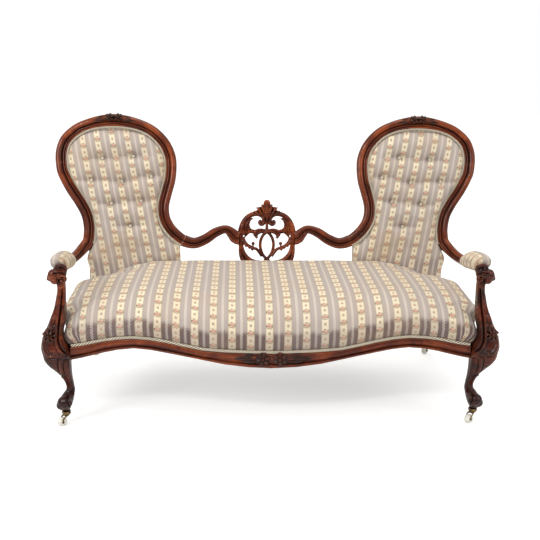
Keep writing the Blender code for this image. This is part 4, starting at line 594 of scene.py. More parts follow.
def bloom(centre, radius, petals, height, turn=0.0):
    """Strokes for a carved flower: raised petals, sunk lines between them, and a button."""
    def at(angle, share):
        return (centre[0] + radius * share * math.sin(angle), centre[1] + radius * share * math.cos(angle))

    strokes = []
    for i in range(petals):
        angle = 2 * math.pi * i / petals + turn
        between = angle + math.pi / petals
        strokes.append(([at(angle, 0.42), at(angle, 0.80)], radius * 0.50, height))
        strokes.append(([at(angle, 0.45), at(angle, 0.72)], radius * 0.16, -height * 0.35))
        strokes.append(([at(between, 0.30), at(between, 1.05)], radius * 0.20, -height * 0.9))
    strokes.append(([at(0, 0.0), at(0, 0.01)], radius * 0.36, height * 1.1))
    rim = [at(2 * math.pi * i / 16, 0.30) for i in range(17)]
    strokes.append((rim, radius * 0.14, -height * 0.7))
    return strokes


# Node trees written as sums


class Num:
    """A number in a node tree, so that a pattern can be written as arithmetic."""

    def __init__(self, tree, socket):
        self.tree = tree
        self.socket = socket

    def op(self, kind, *others, swap=False):
        node = self.tree.nodes.new("ShaderNodeMath")
        node.operation = kind
        values = [*others, self] if swap else [self, *others]
        for slot, value in zip(node.inputs, values):
            if isinstance(value, Num):
                self.tree.links.new(value.socket, slot)
            else:
                slot.default_value = value
        return Num(self.tree, node.outputs[0])

    def __add__(self, other):
        return self.op("ADD", other)

    __radd__ = __add__

    def __sub__(self, other):
        return self.op("SUBTRACT", other)

    def __rsub__(self, other):
        return self.op("SUBTRACT", other, swap=True)

    def __mul__(self, other):
        return self.op("MULTIPLY", other)

    __rmul__ = __mul__

    def __truediv__(self, other):
        return self.op("DIVIDE", other)

    def abs(self):
        return self.op("ABSOLUTE")

    def high(self, other):
        return self.op("MAXIMUM", other)

    def ripple(self, pitch):
        """A sine wave along the number."""
        return (self * (2 * math.pi / pitch)).op("SINE")

    def below(self, edge, soft):
        """1 where the number is under the edge, fading over soft."""
        node = self.tree.nodes.new("ShaderNodeMapRange")
        node.interpolation_type = "SMOOTHSTEP"
        self.tree.links.new(self.socket, node.inputs["Value"])
        node.inputs["From Min"].default_value = edge - soft / 2
        node.inputs["From Max"].default_value = edge + soft / 2
        node.inputs["To Min"].default_value = 1
        node.inputs["To Max"].default_value = 0
        return Num(self.tree, node.outputs["Result"])


class Paint:
    """Shorthand for the nodes that the materials share."""

    def __init__(self, name, colour, roughness, metallic=0.0):
        self.material = bpy.data.materials.new(name)
        self.material.use_nodes = True
        self.tree = self.material.node_tree
        self.shader = self.tree.nodes["Principled BSDF"]
        self.shader.inputs["Base Color"].default_value = (*colour, 1)
        self.shader.inputs["Roughness"].default_value = roughness
        self.shader.inputs["Metallic"].default_value = metallic
        self.material.diffuse_color = (*colour, 1)

    def node(self, kind, **settings):
        made = self.tree.nodes.new(kind)
        for key, value in settings.items():
            setattr(made, key, value)
        return made

    def number(self, socket):
        return Num(self.tree, socket)

    def link(self, source, target):
        self.tree.links.new(source.socket if isinstance(source, Num) else source, target)

    def coordinate(self, kind, scale=(1, 1, 1), turn=(0, 0, 0)):
        source = self.node("ShaderNodeTexCoord").outputs[kind]
        mapping = self.node("ShaderNodeMapping")
        mapping.inputs["Scale"].default_value = scale
        mapping.inputs["Rotation"].default_value = turn
        self.link(source, mapping.inputs["Vector"])
        return mapping.outputs["Vector"]

    def axes(self, kind):
        """The three numbers of a texture coordinate."""
        split = self.node("ShaderNodeSeparateXYZ")
        self.link(self.node("ShaderNodeTexCoord").outputs[kind], split.inputs[0])
        return [self.number(output) for output in split.outputs]

    def noise(self, vector, scale, detail=3.0, roughness=0.5, distortion=0.0):
        made = self.node("ShaderNodeTexNoise")
        made.inputs["Scale"].default_value = scale
        made.inputs["Detail"].default_value = detail
        made.inputs["Roughness"].default_value = roughness
        made.inputs["Distortion"].default_value = distortion
        self.link(vector, made.inputs["Vector"])
        return self.number(made.outputs["Fac"])

    def spots(self, scale, detail=3.0, roughness=0.5, stretch=(1, 1, 1)):
        """Noise through the piece itself."""
        return self.noise(self.coordinate("Object", stretch), scale, detail, roughness)

    def shade(self):
        """The painted shade that the mesh carries at each point: along the seat's front, at the backs' foot
        and creases, and deep between a cord's strands.
        """
        return self.number(self.node("ShaderNodeAttribute", attribute_name="shade").outputs["Fac"])

    def openness(self, distance, samples=4):
        """1 in the open, and less where other surfaces close in within the distance."""
        cavity = self.node("ShaderNodeAmbientOcclusion", samples=samples)
        cavity.inputs["Distance"].default_value = distance
        return self.number(cavity.outputs["AO"])

    def mix(self, first, second, share):
        made = self.node("ShaderNodeMix", data_type="RGBA")
        for slot, value in ((made.inputs[6], first), (made.inputs[7], second), (made.inputs[0], share)):
            if isinstance(value, tuple):
                slot.default_value = (*value, 1)
            elif isinstance(value, float):
                slot.default_value = value
            else:
                self.link(value, slot)
        return made.outputs[2]

    def layers(self, colour, *coats):
        """Coats over a colour, each a tone and its share."""
        for tone, share in coats:
            colour = self.mix(colour, tone, share)
        return colour

    def ramp(self, value, stops):
        made = self.node("ShaderNodeValToRGB")
        while len(made.color_ramp.elements) < len(stops):
            made.color_ramp.elements.new(0.5)
        for element, (at, colour) in zip(made.color_ramp.elements, stops):
            element.position = at
            element.color = (*colour, 1)
        self.link(value, made.inputs[0])
        return made.outputs[0]

    def bump(self, height, distance, strength):
        made = self.node("ShaderNodeBump")
        made.inputs["Distance"].default_value = distance
        made.inputs["Strength"].default_value = strength
        self.link(height, made.inputs["Height"])
        return made.outputs["Normal"]

    def finish(self, colour, roughness, normal=None):
        self.link(colour, self.shader.inputs["Base Color"])
        self.link(roughness, self.shader.inputs["Roughness"])
        if normal is not None:
            self.link(normal, self.shader.inputs["Normal"])
        return self.material


def darker(colour, share):
    return tuple(part * share for part in colour)


# Polished wood: its mean, its streaks from dark to light, its other tones, and how its grain is stretched
WOOD_MEAN = (0.085, 0.022, 0.010)
WOOD_STREAKS = [(0.38, (0.0045, 0.0015, 0.0010)), (0.50, (0.026, 0.0050, 0.0022)),
                (0.62, (0.090, 0.0140, 0.0046)), (0.77, (0.275, 0.0560, 0.0125))]
WOOD_PORE = (0.014, 0.005, 0.003)
# The tone of the painted shade in the wood's recesses
WOOD_SHADE_TONE = (0.010, 0.0035, 0.0025)
WOOD_WORN = (0.30, 0.080, 0.022)
WOOD_FOOT = (0.0075, 0.0040, 0.0035)
WOOD_STREAK_STRETCH = (1.6, 34, 34)
WOOD_PORE_STRETCH = (14, 420, 420)
# How far the painted shade in the recesses looks for surfaces closing in
WOOD_HOLLOW_REACH = 0.014
WOOD_FOOT_Z = 0.16


def wood_material(name, kind="Object", turn=(0, 0, 0), warmth=0.5, hollow=0.62):
    """Polished dark wood with streaks along the mapped X axis, painted shade in its recesses, worn edges and
    darker feet.
    """
    paint = Paint(name, WOOD_MEAN, 0.28)
    figure = paint.noise(paint.coordinate(kind, (1, 1, 1), turn), 9.0, 3.0, 0.6, 0.8)
    streak = paint.noise(paint.coordinate(kind, WOOD_STREAK_STRETCH, turn), 1.0, 6.0, 0.62, 1.2)
    pore = paint.noise(paint.coordinate(kind, WOOD_PORE_STRETCH, turn), 1.0, 2.0, 0.5)
    pit = pore.below(0.42, 0.12)
    # Painted shade: the wood darkens where other surfaces close in round it
    hollow_shade = paint.openness(WOOD_HOLLOW_REACH, 6).below(hollow + 0.04, 0.50)
    edge = paint.number(paint.node("ShaderNodeNewGeometry").outputs["Pointiness"])
    worn = (1 - edge.below(0.545, 0.06)) * figure.below(0.62, 0.3) * 0.30
    foot = paint.axes("Object")[2].below(WOOD_FOOT_Z, 0.10)
    colour = paint.ramp(streak * 0.62 + figure * 0.5 + (warmth - 0.5) * 0.5, WOOD_STREAKS)
    colour = paint.layers(colour, (WOOD_PORE, pit * 0.40), (WOOD_SHADE_TONE, hollow_shade * 0.96), (WOOD_WORN, worn),
                          (WOOD_FOOT, foot * 0.75))
    paint.shader.inputs["Coat Weight"].default_value = 0.34
    paint.shader.inputs["Coat Roughness"].default_value = 0.09
    paint.shader.inputs["Specular IOR Level"].default_value = 0.12
    return paint.finish(colour, 0.24 + figure * 0.14 + pit * 0.10,
                        paint.bump(pore * 0.5 + streak * 0.5, 0.0004, 0.35))


# The cloth's bands, as half widths from the middle of a cream band or, for the last three, of a mauve one
CREAM_HALF = 0.0118
BEADED_HALF = 0.0144
SHADED_HALF = 0.0172
LANE_HALF = 0.0056
ZIGZAG_HALF = 0.0013
ZIGZAG_SWING = 0.0034

# Its threads and beads, and the darker block behind each rose
BEAD_PITCH = 0.0052
BEAD_SWING = 0.0006
RIB_PITCH = 0.0024
THREAD_PITCH = 0.0009
BLOCK_HALF = 0.0105
# How far the painted shade in the cloth's hollows looks for surfaces closing in
CLOTH_HOLLOW_REACH = 0.030

# Its colours, and those that it takes under painted shade
CLOTH_MEAN = (0.62, 0.54, 0.42)
MAUVE, MAUVE_RIB, MAUVE_PAINTED_SHADE = (0.350, 0.292, 0.262), (0.420, 0.356, 0.318), (0.135, 0.088, 0.082)
MAUVE_EDGE = (0.290, 0.235, 0.212)
LANE, LANE_PAINTED_SHADE = (0.425, 0.364, 0.318), (0.190, 0.142, 0.130)
ZIGZAG, ZIGZAG_PAINTED_SHADE = (0.740, 0.695, 0.590), (0.620, 0.570, 0.480)
BEAD, BEAD_GAP = (0.640, 0.560, 0.390), (0.250, 0.215, 0.135)
CREAM, CREAM_WORN, CREAM_PAINTED_SHADE = (0.735, 0.650, 0.485), (0.640, 0.540, 0.385), (0.520, 0.430, 0.330)
CREAM_BLOCK = (0.560, 0.450, 0.300)
LEAF_GREEN = (0.190, 0.170, 0.095)
# Dust, fading at random, and the tone of the painted shade in the cloth's hollows
DUSTY, FADED, CLOTH_SHADE_TONE = (0.400, 0.260, 0.130), (0.330, 0.300, 0.300), (0.120, 0.080, 0.060)

# Its printed marks: centre and radii from the middle of the repeat, then colour and strength
LEAVES = [(0.0098, -0.0034, 0.0046, 0.0034), (-0.0045, -0.0092, 0.0040, 0.0022),
          (0.0040, -0.0098, 0.0042, 0.0022), (0.0104, 0.0036, 0.0030, 0.0026),
          (-0.0104, -0.0054, 0.0024, 0.0026), (-0.0020, 0.0092, 0.0044, 0.0018)]
ROSE = (0.0006, 0.0004, 0.0078, 0.0070)
ROSE_COLOUR = (0.450, 0.235, 0.180)
ROSE_MARKS = [((0.0016, 0.0018, 0.0042, 0.0034), (0.620, 0.390, 0.310), 0.85),
              ((-0.0006, -0.0026, 0.0034, 0.0020), (0.300, 0.120, 0.095), 0.60),
              ((-0.0098, 0.0004, 0.0032, 0.0028), (0.160, 0.030, 0.030), 0.92)]
SPRIG_MARKS = [((0.0, 0.0, 0.0046, 0.0058), 0.5, (0.280, 0.205, 0.130), 0.80),
               ((0.0004, 0.0010, 0.0018, 0.0026), 0.6, (0.500, 0.350, 0.250), 0.70)]


def cloth_material(name, dirt, across_share=1.0):
    """Striped satin cloth: cream bands with roses and sprigs, mauve stripes, and a zigzag between them."""
    paint = Paint(name, CLOTH_MEAN, 0.78)
    s, t, _ = paint.axes("UV")
    s = s / across_share
    spot = paint.noise(paint.coordinate("UV"), 300.0, 2.0, 0.5)
    blur = (spot - 0.5) * 1.1
    cell = (s / STRIPE_REPEAT).op("ROUND")
    ds = s - cell * STRIPE_REPEAT
    gap = ds.abs()
    phase = (t / SPRIG_REPEAT + (cell * 0.5).op("FRACT")).op("FRACT")
    dt = (phase - 0.5) * SPRIG_REPEAT
    dt_sprig = ((phase + 0.5).op("FRACT") - 0.5) * SPRIG_REPEAT
    middle = ((s / STRIPE_REPEAT).op("FRACT") - 0.5) * STRIPE_REPEAT

    def oval(shape, y=dt, soft=0.35):
        centre_x, centre_y, radius_x, radius_y = shape
        u = (ds - centre_x) / radius_x
        v = (y - centre_y) / radius_y
        return ((u * u + v * v).op("SQRT") + blur).below(1.0, soft)

    beads = t.ripple(BEAD_PITCH)
    cream = (gap + beads * BEAD_SWING).below(CREAM_HALF, 0.0014)
    rim = gap.below(BEADED_HALF, 0.0010) * (1 - cream)
    swing = t.ripple(SPRIG_REPEAT / 5) * ZIGZAG_SWING
    zigzag = ((middle - swing).abs()).below(ZIGZAG_HALF, 0.0012)
    lane = middle.abs().below(LANE_HALF, 0.0016)
    rib = s.ripple(RIB_PITCH) * 0.5 + 0.5
    block = dt.abs().below(BLOCK_HALF, 0.0030)
    worn = paint.spots(7.0, 4.0, 0.6)
    cloud = paint.spots(3.0, 3.0, 0.6)
    # Painted shade that the mesh carries, which darkens every band
    dark = paint.shade()
    leaf = oval(LEAVES[0])
    for shape in LEAVES[1:]:
        leaf = leaf.high(oval(shape))
    rose = oval(ROSE)

    colour = paint.layers(
        paint.mix(MAUVE, MAUVE_RIB, rib), (MAUVE_EDGE, gap.below(SHADED_HALF, 0.0030) * 0.35),
        (MAUVE_PAINTED_SHADE, dark), (paint.mix(LANE, LANE_PAINTED_SHADE, dark * 0.9), lane),
        (paint.mix(ZIGZAG, ZIGZAG_PAINTED_SHADE, dark), zigzag * 0.86),
        (paint.mix(BEAD_GAP, BEAD, beads * 0.5 + 0.5), rim * 0.85))
    ground = paint.layers(CREAM, (CREAM_WORN, worn), (CREAM_PAINTED_SHADE, dark * 0.9), (CREAM_BLOCK, block * 0.45))
    colour = paint.layers(colour, (ground, cream), (LEAF_GREEN, leaf * 0.80), (ROSE_COLOUR, rose * 0.90))
    for shape, tone, strength in ROSE_MARKS:
        colour = paint.mix(colour, tone, oval(shape) * strength)
    for shape, soft, tone, strength in SPRIG_MARKS:
        colour = paint.mix(colour, tone, oval(shape, dt_sprig, soft) * strength)
    # Painted shade in the cloth's hollows, where other surfaces close in
    hollow_shade = paint.openness(CLOTH_HOLLOW_REACH).below(0.55, 0.60)
    colour = paint.layers(colour, (DUSTY, (1 - worn.below(0.58, 0.30)) * (0.10 + 0.18 * dirt)),
                          (FADED, (1 - cloud.below(0.54, 0.24)) * 0.14), (CLOTH_SHADE_TONE, hollow_shade * 0.65))
    weave = s.ripple(THREAD_PITCH) * t.ripple(THREAD_PITCH)
    raised = cream * 0.5 + zigzag * 0.5 + rose * 0.35 + weave * 0.12 + rib * 0.10 * (1 - cream)
    paint.shader.inputs["Sheen Weight"].default_value = 0.12
    paint.shader.inputs["Sheen Roughness"].default_value = 0.45
    paint.shader.inputs["Specular IOR Level"].default_value = 0.25
    return paint.finish(colour, 0.62 + cream * 0.20 + (spot - 0.5) * 0.1, paint.bump(raised, 0.0005, 0.5))


def cord_material(name, light, dark):
    """Soft twisted thread, light on its crowns, with painted shade deepening where the strands meet."""
    paint = Paint(name, light, 0.8)
    fine = paint.spots(900.0, 2.0)
    # The last coat is the painted shade that the mesh carries between the strands
    colour = paint.layers(light, (dark, paint.spots(22.0) * 0.35), (dark, fine.below(0.42, 0.2) * 0.3),
                          (darker(dark, 0.22), paint.shade()))
    paint.shader.inputs["Sheen Weight"].default_value = 0.15
    return paint.finish(colour, 0.7 + fine * 0.2, paint.bump(fine, 0.0003, 0.5))


def metal_material(name, colour, dull, roughness):
    """Worn metal with dull patches and fine scratches."""
    paint = Paint(name, colour, roughness, 1.0)
    patch = paint.spots(90.0, 4.0, 0.6)
    scratch = paint.spots(160.0, 2.0, 0.5, (1, 1, 14))
    tone = paint.layers(colour, (dull, (1 - patch.below(0.52, 0.2)) * 0.7),
                        (darker(dull, 0.25), paint.openness(0.004).below(0.55, 0.5) * 0.8))
    return paint.finish(tone, roughness - 0.08 + patch * 0.25, paint.bump(scratch, 0.0001, 0.3))


def plain_wood_material(name):
    """Pale unpolished wood for the inner frame."""
    paint = Paint(name, (0.42, 0.28, 0.16), 0.65)
    along = paint.noise(paint.coordinate("Object", (1.5, 26, 26)), 1.0, 5.0, 0.6, 0.8)
    pore = paint.spots(1.0, 2.0, 0.5, (18, 300, 300))
    colour = paint.ramp(along, [(0.30, (0.235, 0.135, 0.070)), (0.55, (0.380, 0.240, 0.130)),
                                (0.75, (0.480, 0.330, 0.195))])
    colour = paint.mix(colour, (0.16, 0.09, 0.05), pore.below(0.40, 0.1) * 0.6)
    return paint.finish(colour, 0.55 + pore * 0.15, paint.bump(pore + along, 0.0004, 0.4))


def woven_material(name, light, pitch=0.0026):
    """Plain woven cloth: a net of threads with darker gaps."""
    paint = Paint(name, light, 0.9)
    weft, warp = [axis.ripple(pitch) * 0.5 + 0.5 for axis in paint.axes("Object")[:2]]
    net = weft.high(warp)
    spot = paint.spots(12.0, 4.0, 0.6)
    colour = paint.layers(darker(light, 0.35), (light, net), (darker(light, 0.6), spot * 0.6))
    return paint.finish(colour, 0.85 + spot * 0.1, paint.bump(net, 0.0006, 0.6))


def ceramic_material(name):
    """Glazed ceramic, a little stained and crazed."""
    paint = Paint(name, (0.86, 0.83, 0.76), 0.2)
    spot = paint.spots(140.0, 3.0, 0.6)
    craze = paint.node("ShaderNodeTexVoronoi", feature="DISTANCE_TO_EDGE")
    craze.inputs["Scale"].default_value = 260
    paint.link(paint.coordinate("Object"), craze.inputs["Vector"])
    line = paint.number(craze.outputs["Distance"]).below(0.03, 0.03)
    colour = paint.layers((0.82, 0.80, 0.72), ((0.66, 0.62, 0.52), (1 - spot.below(0.55, 0.2)) * 0.5),
                          ((0.35, 0.30, 0.22), line * 0.3))
    paint.shader.inputs["Coat Weight"].default_value = 0.5
    return paint.finish(colour, 0.16 + spot * 0.15, paint.bump(spot, 0.0001, 0.2))


SWEPT_WOOD = wood_material("polished_wood_swept", "UV", warmth=0.66)
UPRIGHT_WOOD = wood_material("polished_wood_upright", "Object", (0, math.pi / 2, 0))
SIDE_WOOD = wood_material("polished_wood_side", "Object", (0, 0, math.pi / 2))
SPLAT_WOOD = wood_material("polished_wood_splat", "Object", (0, math.pi / 2, 0), warmth=0.69, hollow=0.58)
CARVED_WOOD = wood_material("polished_wood_carved", "Object", warmth=0.46, hollow=0.92)
SEAT_CLOTH = cloth_material("striped_cloth_seat", 0.3)
BACK_CLOTH = cloth_material("striped_cloth_back", 0.9, BACK_STRIPE_SHARE)
CORD = cord_material("twisted_cord", (0.900, 0.815, 0.650), (0.560, 0.450, 0.310))
BRASS = metal_material("aged_brass_castor", (0.27, 0.180, 0.080), (0.075, 0.048, 0.026), 0.36)
STEEL = metal_material("spring_steel_wire", (0.30, 0.27, 0.24), (0.10, 0.07, 0.05), 0.45)
BEECH = plain_wood_material("plain_inner_wood")
HESSIAN = woven_material("woven_hessian", (0.36, 0.28, 0.17))
BUTTON_CLOTH = woven_material("button_cloth", (0.74, 0.66, 0.53))
DUST = woven_material("dust_cloth_weave", (0.10, 0.085, 0.07))
CERAMIC = ceramic_material("glazed_ceramic")


# Camera


def add_camera():
    """The camera fitted to the photograph's edges, corners and castors."""
    camera = bpy.data.cameras.new("camera")
    camera.sensor_width = 36.0
    camera.lens = CAMERA_FOCAL_PIXELS / PHOTO_PIXELS * 36.0
    flat = math.cos(CAMERA_PITCH)
    ahead = Vector((math.sin(CAMERA_YAW) * flat, math.cos(CAMERA_YAW) * flat, -math.sin(CAMERA_PITCH)))
    level = Vector((math.cos(CAMERA_YAW), -math.sin(CAMERA_YAW), 0))
    over = level.cross(ahead)
    right = level * math.cos(CAMERA_ROLL) + over * math.sin(CAMERA_ROLL)
    up = over * math.cos(CAMERA_ROLL) - level * math.sin(CAMERA_ROLL)
    place = Matrix((right, up, -ahead)).transposed().to_4x4()
    place.translation = CAMERA_PLACE
    stand = bpy.data.objects.new("camera", camera)
    stand.matrix_world = place
    bpy.context.scene.collection.objects.link(stand)
    bpy.context.scene.camera = stand


add_camera()


# Moulded show-wood of the backs and arms


def moulding_rows():
    rows = []
    starts = {}
    waist = in_back_plane(WAIST_SHARES[0][0] * HOOP_REACH, WAIST_SHARES[0][1] * HOOP_HEIGHT)
    splat = splat_point(*LINK_END_SHARES)
    starts["link"] = 0
    for run, rise, width in LINK_SHARES[:-1]:
        centre = splat.lerp(waist, run) + UPWARD * rise * LINK_RISE
        rows.append([*centre, *FACE, width, min(1.0, width + 0.1)])
    for name, shares in (("inner", WAIST_SHARES), ("crest", CREST_SHARES), ("outer", STILE_SHARES)):
        starts[name] = len(rows) - (0 if name == "inner" else 1)
        for across, up, width in shares:
            rows.append([*in_back_plane(across * HOOP_REACH, up * HOOP_HEIGHT), *FACE, width, 1.0])
    start = Vector((SIDE_RAIL_X + MOULDING_WIDTH / 2, BACK_BASE_Y - ARM_BACK_SET, ARM_HEAD_Z))
    head = Vector((ARM_HEAD_X, ARM_HEAD_Y + ARM_HEAD_RADIUS + FIT_GAP, ARM_HEAD_Z + ARM_HEAD_LIFT))
    for run, bow, dip, scale, turn in ARM_SHARES:
        base = Vector((head.x, start.y + (head.y - start.y) * run, head.z))
        centre = base + Vector((bow * ARM_BOW, 0, -dip * ARM_DIP))
        face = FACE.lerp(ARM_FACE, turn).normalized()
        rows.append([*centre, *face, scale, scale])
    starts["end"] = len(rows) - 1
    return rows, starts


def stations(dense, first, last, pitch):
    tangents = np.gradient(dense[:, :3], axis=0)
    table = np.column_stack([dense, tangents])[first:last + 1]
    count = max(3, round(line_length(table) / pitch) + 1)
    result = []
    for row in even_rows(table, count):
        tangent = Vector(row[8:11]).normalized()
        face = Vector(row[3:6])
        face = (face - tangent * face.dot(tangent)).normalized()
        result.append([Vector(row[:3]), face.cross(tangent), face, row[6], row[7], tangent])
    result[0][0] = result[0][0] + result[0][5] * FIT_GAP / 2
    result[-1][0] = result[-1][0] - result[-1][5] * FIT_GAP / 2
    return result


def ring_at(station, shares, width, depth, grow=1.0):
    centre, across, face, width_scale, depth_scale, _ = station
    return [centre + across * a * width * width_scale * grow + face * b * depth * depth_scale * grow
            for a, b in shares]


def moulding_lines(pitch):
    rows, starts = moulding_rows()
    dense = smooth_rows(rows)
    order = ["link", "inner", "crest", "outer", "end"]
    return {name: stations(dense, starts[name] * CURVE_STEPS, starts[following] * CURVE_STEPS, pitch)
            for name, following in zip(order, order[1:])}


LINES = moulding_lines(0.006)
COARSE = moulding_lines(0.030)

# Each line's name among the pieces, and how the link rails widen where they meet the splat
MOULDING_NAMES = {"link": "link_rail", "inner": "inner_stile", "crest": "back_crest",
                  "outer": "outer_stile_and_arm"}
LINK_WIDTH = 1.08
LINK_FLARE = 0.60
LINK_FLARE_REACH = 0.026


def add_mouldings():
    along = 0.0
    for key, node in MOULDING_NAMES.items():
        points, uvs = [], []
        line = LINES[key]
        for i, station in enumerate(line):
            if i:
                along += (station[0] - line[i - 1][0]).length
            width = MOULDING_WIDTH
            if key == "link":
                gap = (station[0] - line[0][0]).length
                width *= LINK_WIDTH + LINK_FLARE * math.exp(-gap / LINK_FLARE_REACH)
            ring = ring_at(station, MOULDING_LOOK, width, MOULDING_DEPTH)
            if key == "link" and i == 0:
                ring = [point + Vector((-LINK_TENON, 0, 0)) for point in ring]
            points += ring
            uvs += [(along, run) for run in run_along(ring)]
        pair(f"wood_{node}", points, ring_faces(len(line), len(MOULDING_LOOK)), SWEPT_WOOD, (node,),
             "rosewood", uvs=uvs, smooth=50.0)


add_mouldings()


# Front rail, legs and arm supports

RAIL_COLUMNS = 301


def add_front_rail():
    points, uvs = [], []
    for x in np.linspace(-1, 1, RAIL_COLUMNS) * (SEAT_HALF_WIDTH - FIT_GAP):
        face = front_line(x)
        rear = face + FRONT_RAIL_THICKNESS
        ring = []
        for depth, height in RAIL_LOOK:
            y = face + depth * FRONT_RAIL_THICKNESS
            low, high = rail_under(x, y), rail_top(x, y)
            ring.append((x, y, low + (high - low) * height))
        ring += [(x, rear, rail_under(x, rear)), (x, rear, rail_top(x, rear))]
        points += ring
        uvs += [(x, run) for run in run_along(ring)]
    faces = ring_faces(RAIL_COLUMNS, len(RAIL_LOOK) + 2)
    single("wood_front_rail", points, faces, SWEPT_WOOD, ["front_rail"], "rosewood", uvs=uvs)


# Carving on the front rail: two blooms by place and turn, then on each side three leaves by start, height,
# length, width and lift, a vein in each, and short ribs off the middle one
RAIL_BLOOMS = [(-0.0368, 0.3), (0.0262, 0.0)]
RAIL_BLOOM_Z = 0.2785
RAIL_BLOOM_RADIUS = 0.0262
RAIL_BLOOM_BODY = (0.0285, 0.0075, 0.0258)
RAIL_LEAVES = [(0.062, 0.2800, 0.086, 0.021, -0.001), (0.054, 0.2915, 0.056, 0.016, 0.004),
               (0.054, 0.2675, 0.052, 0.015, -0.001)]
RAIL_LEAF_SHIFT = 0.003
RAIL_LEAF_THICKNESS = 0.009
RAIL_VEINS = [[(0.064, 0.2800), (0.100, 0.2805), (0.140, 0.2792)],
              [(0.062, 0.2920), (0.084, 0.2945), (0.106, 0.2952)],
              [(0.062, 0.2672), (0.082, 0.2668), (0.102, 0.2664)]]
RAIL_RIB_START = 0.074
RAIL_RIB_PITCH = 0.015
RAIL_RIB_RUN = 0.010
RAIL_RIB_RISE = 0.009
RAIL_RIB_Z = 0.280
CARVING_VOXEL = 0.0011
CARVED_ANGLE = 80.0


def add_rail_carving():
    """Two blooms between long leaves on the middle of the front rail."""
    heap = Heap()
    strokes = []
    for x, turn in RAIL_BLOOMS:
        heap.ball(Vector((x, front_line(x) + 0.002, RAIL_BLOOM_Z)), RAIL_BLOOM_BODY, None, 32, 16)
        strokes += bloom((x, RAIL_BLOOM_Z), RAIL_BLOOM_RADIUS, 6, 0.0046, turn)
    for sign in (-1, 1):
        shift = sign * RAIL_LEAF_SHIFT
        for start, rise, length, width, lift in RAIL_LEAVES:
            root = Vector((sign * start + shift, front_line(start) + 0.003, rise))
            tip = Vector((sign * (start + length) + shift, 0, rise + lift))
            tip.y = front_line(tip.x) + 0.004
            heap.petal(root, tip - root, Vector((0, -1, 0)), length, width, RAIL_LEAF_THICKNESS, 0.05, 0.3)
        for vein in RAIL_VEINS:
            strokes.append(([(sign * x + shift, z) for x, z in vein], 0.0030, -0.0026))
        for i in range(4):
            x = RAIL_RIB_START + RAIL_RIB_PITCH * i
            for way in (-1, 1):
                tip = (sign * (x + RAIL_RIB_RUN) + shift, RAIL_RIB_Z + way * RAIL_RIB_RISE)
                strokes.append(([(sign * x + shift, RAIL_RIB_Z), tip], 0.0022, -0.0014))
    points, normals, faces = heap.remeshed(CARVING_VOXEL, 2)
    single("carving_front_rail", carve(points, normals, strokes), faces, CARVED_WOOD, (), "rosewood",
           smooth=CARVED_ANGLE)


def soft_square(angle, power):
    """A point of a rounded square with half sides of 1; a lower power gives squarer corners."""
    cosine, sine = math.cos(angle), math.sin(angle)
    return math.copysign(abs(cosine) ** power, cosine), math.copysign(abs(sine) ** power, sine)


LEG_SIDES = 48
LEG_CORNERS = 0.625


def leg_ring(inner, outer, front, heel, z):
    x0 = SEAT_HALF_WIDTH + FIT_GAP + inner * LEG_KNEE_WIDTH
    x1 = SEAT_HALF_WIDTH + outer * LEG_KNEE_WIDTH
    y0 = LEG_BACK_Y - front * LEG_KNEE_DEPTH
    y1 = LEG_BACK_Y - heel * LEG_KNEE_DEPTH
    ring = []
    for i in range(LEG_SIDES):
        x, y = soft_square(2 * math.pi * (i + 0.5) / LEG_SIDES, LEG_CORNERS)
        ring.append(Vector(((x0 + x1) / 2 + (x1 - x0) / 2 * x, (y0 + y1) / 2 + (y1 - y0) / 2 * y, z)))
    return ring


def leg_loft(heap, shares, steps, low, high):
    heap.loft([leg_ring(*sides, low + (high - low) * rise) for rise, *sides in smooth_rows(shares, steps, 1)])


# The head that each arm ends in: lobes by centre and radii, a drooping horn by place and radius, and a collar
HEAD_LOBES = [((0.7690, -0.3380, 0.5935), (0.0270, 0.0370, 0.0270)),
              ((0.7640, -0.3300, 0.6050), (0.0240, 0.0330, 0.0200)),
              ((0.7860, -0.3560, 0.5920), (0.0190, 0.0200, 0.0225)),
              ((0.7800, -0.3600, 0.5730), (0.0160, 0.0160, 0.0135)),
              ((0.7950, -0.3540, 0.5800), (0.0130, 0.0140, 0.0120)),
              ((0.7500, -0.3680, 0.5820), (0.0150, 0.0120, 0.0155)),
              ((0.7565, -0.3440, 0.6100), (0.0190, 0.0120, 0.0190))]
HEAD_HORN = [((0.7900, -0.3600, 0.6000), 0.0090), ((0.8000, -0.3590, 0.5880), 0.0075),
             ((0.8060, -0.3570, 0.5740), 0.0045)]
COLLAR_CENTRE = (0.7575, -0.3580, 0.6150)
COLLAR_RADII = (0.0185, 0.0050, 0.0165)
COLLAR_STEPS = 18
FOOT_BALL = ((0.7720, -0.3580, 0.1010), (0.0265, 0.0240, 0.0245))


def scroll_head(heap):
    """A rounded lobe outwards, a volute inwards and a collar above them."""
    for centre, radii in HEAD_LOBES:
        heap.ball(Vector(centre), radii, None, 28, 18)
    heap.tube([place for place, _ in HEAD_HORN], [radius for _, radius in HEAD_HORN], 12)
    collar, radii = [], []
    for i in range(COLLAR_STEPS + 1):
        angle = math.radians(192 - 204 * i / COLLAR_STEPS)
        collar.append((COLLAR_CENTRE[0] + COLLAR_RADII[0] * math.cos(angle),
                       COLLAR_CENTRE[1] - COLLAR_RADII[1] * math.sin(angle),
                       COLLAR_CENTRE[2] + COLLAR_RADII[2] * math.sin(angle)))
        radii.append(0.0030 + 0.0034 * math.sin(math.pi * i / COLLAR_STEPS))
    heap.tube(collar, radii, 12)


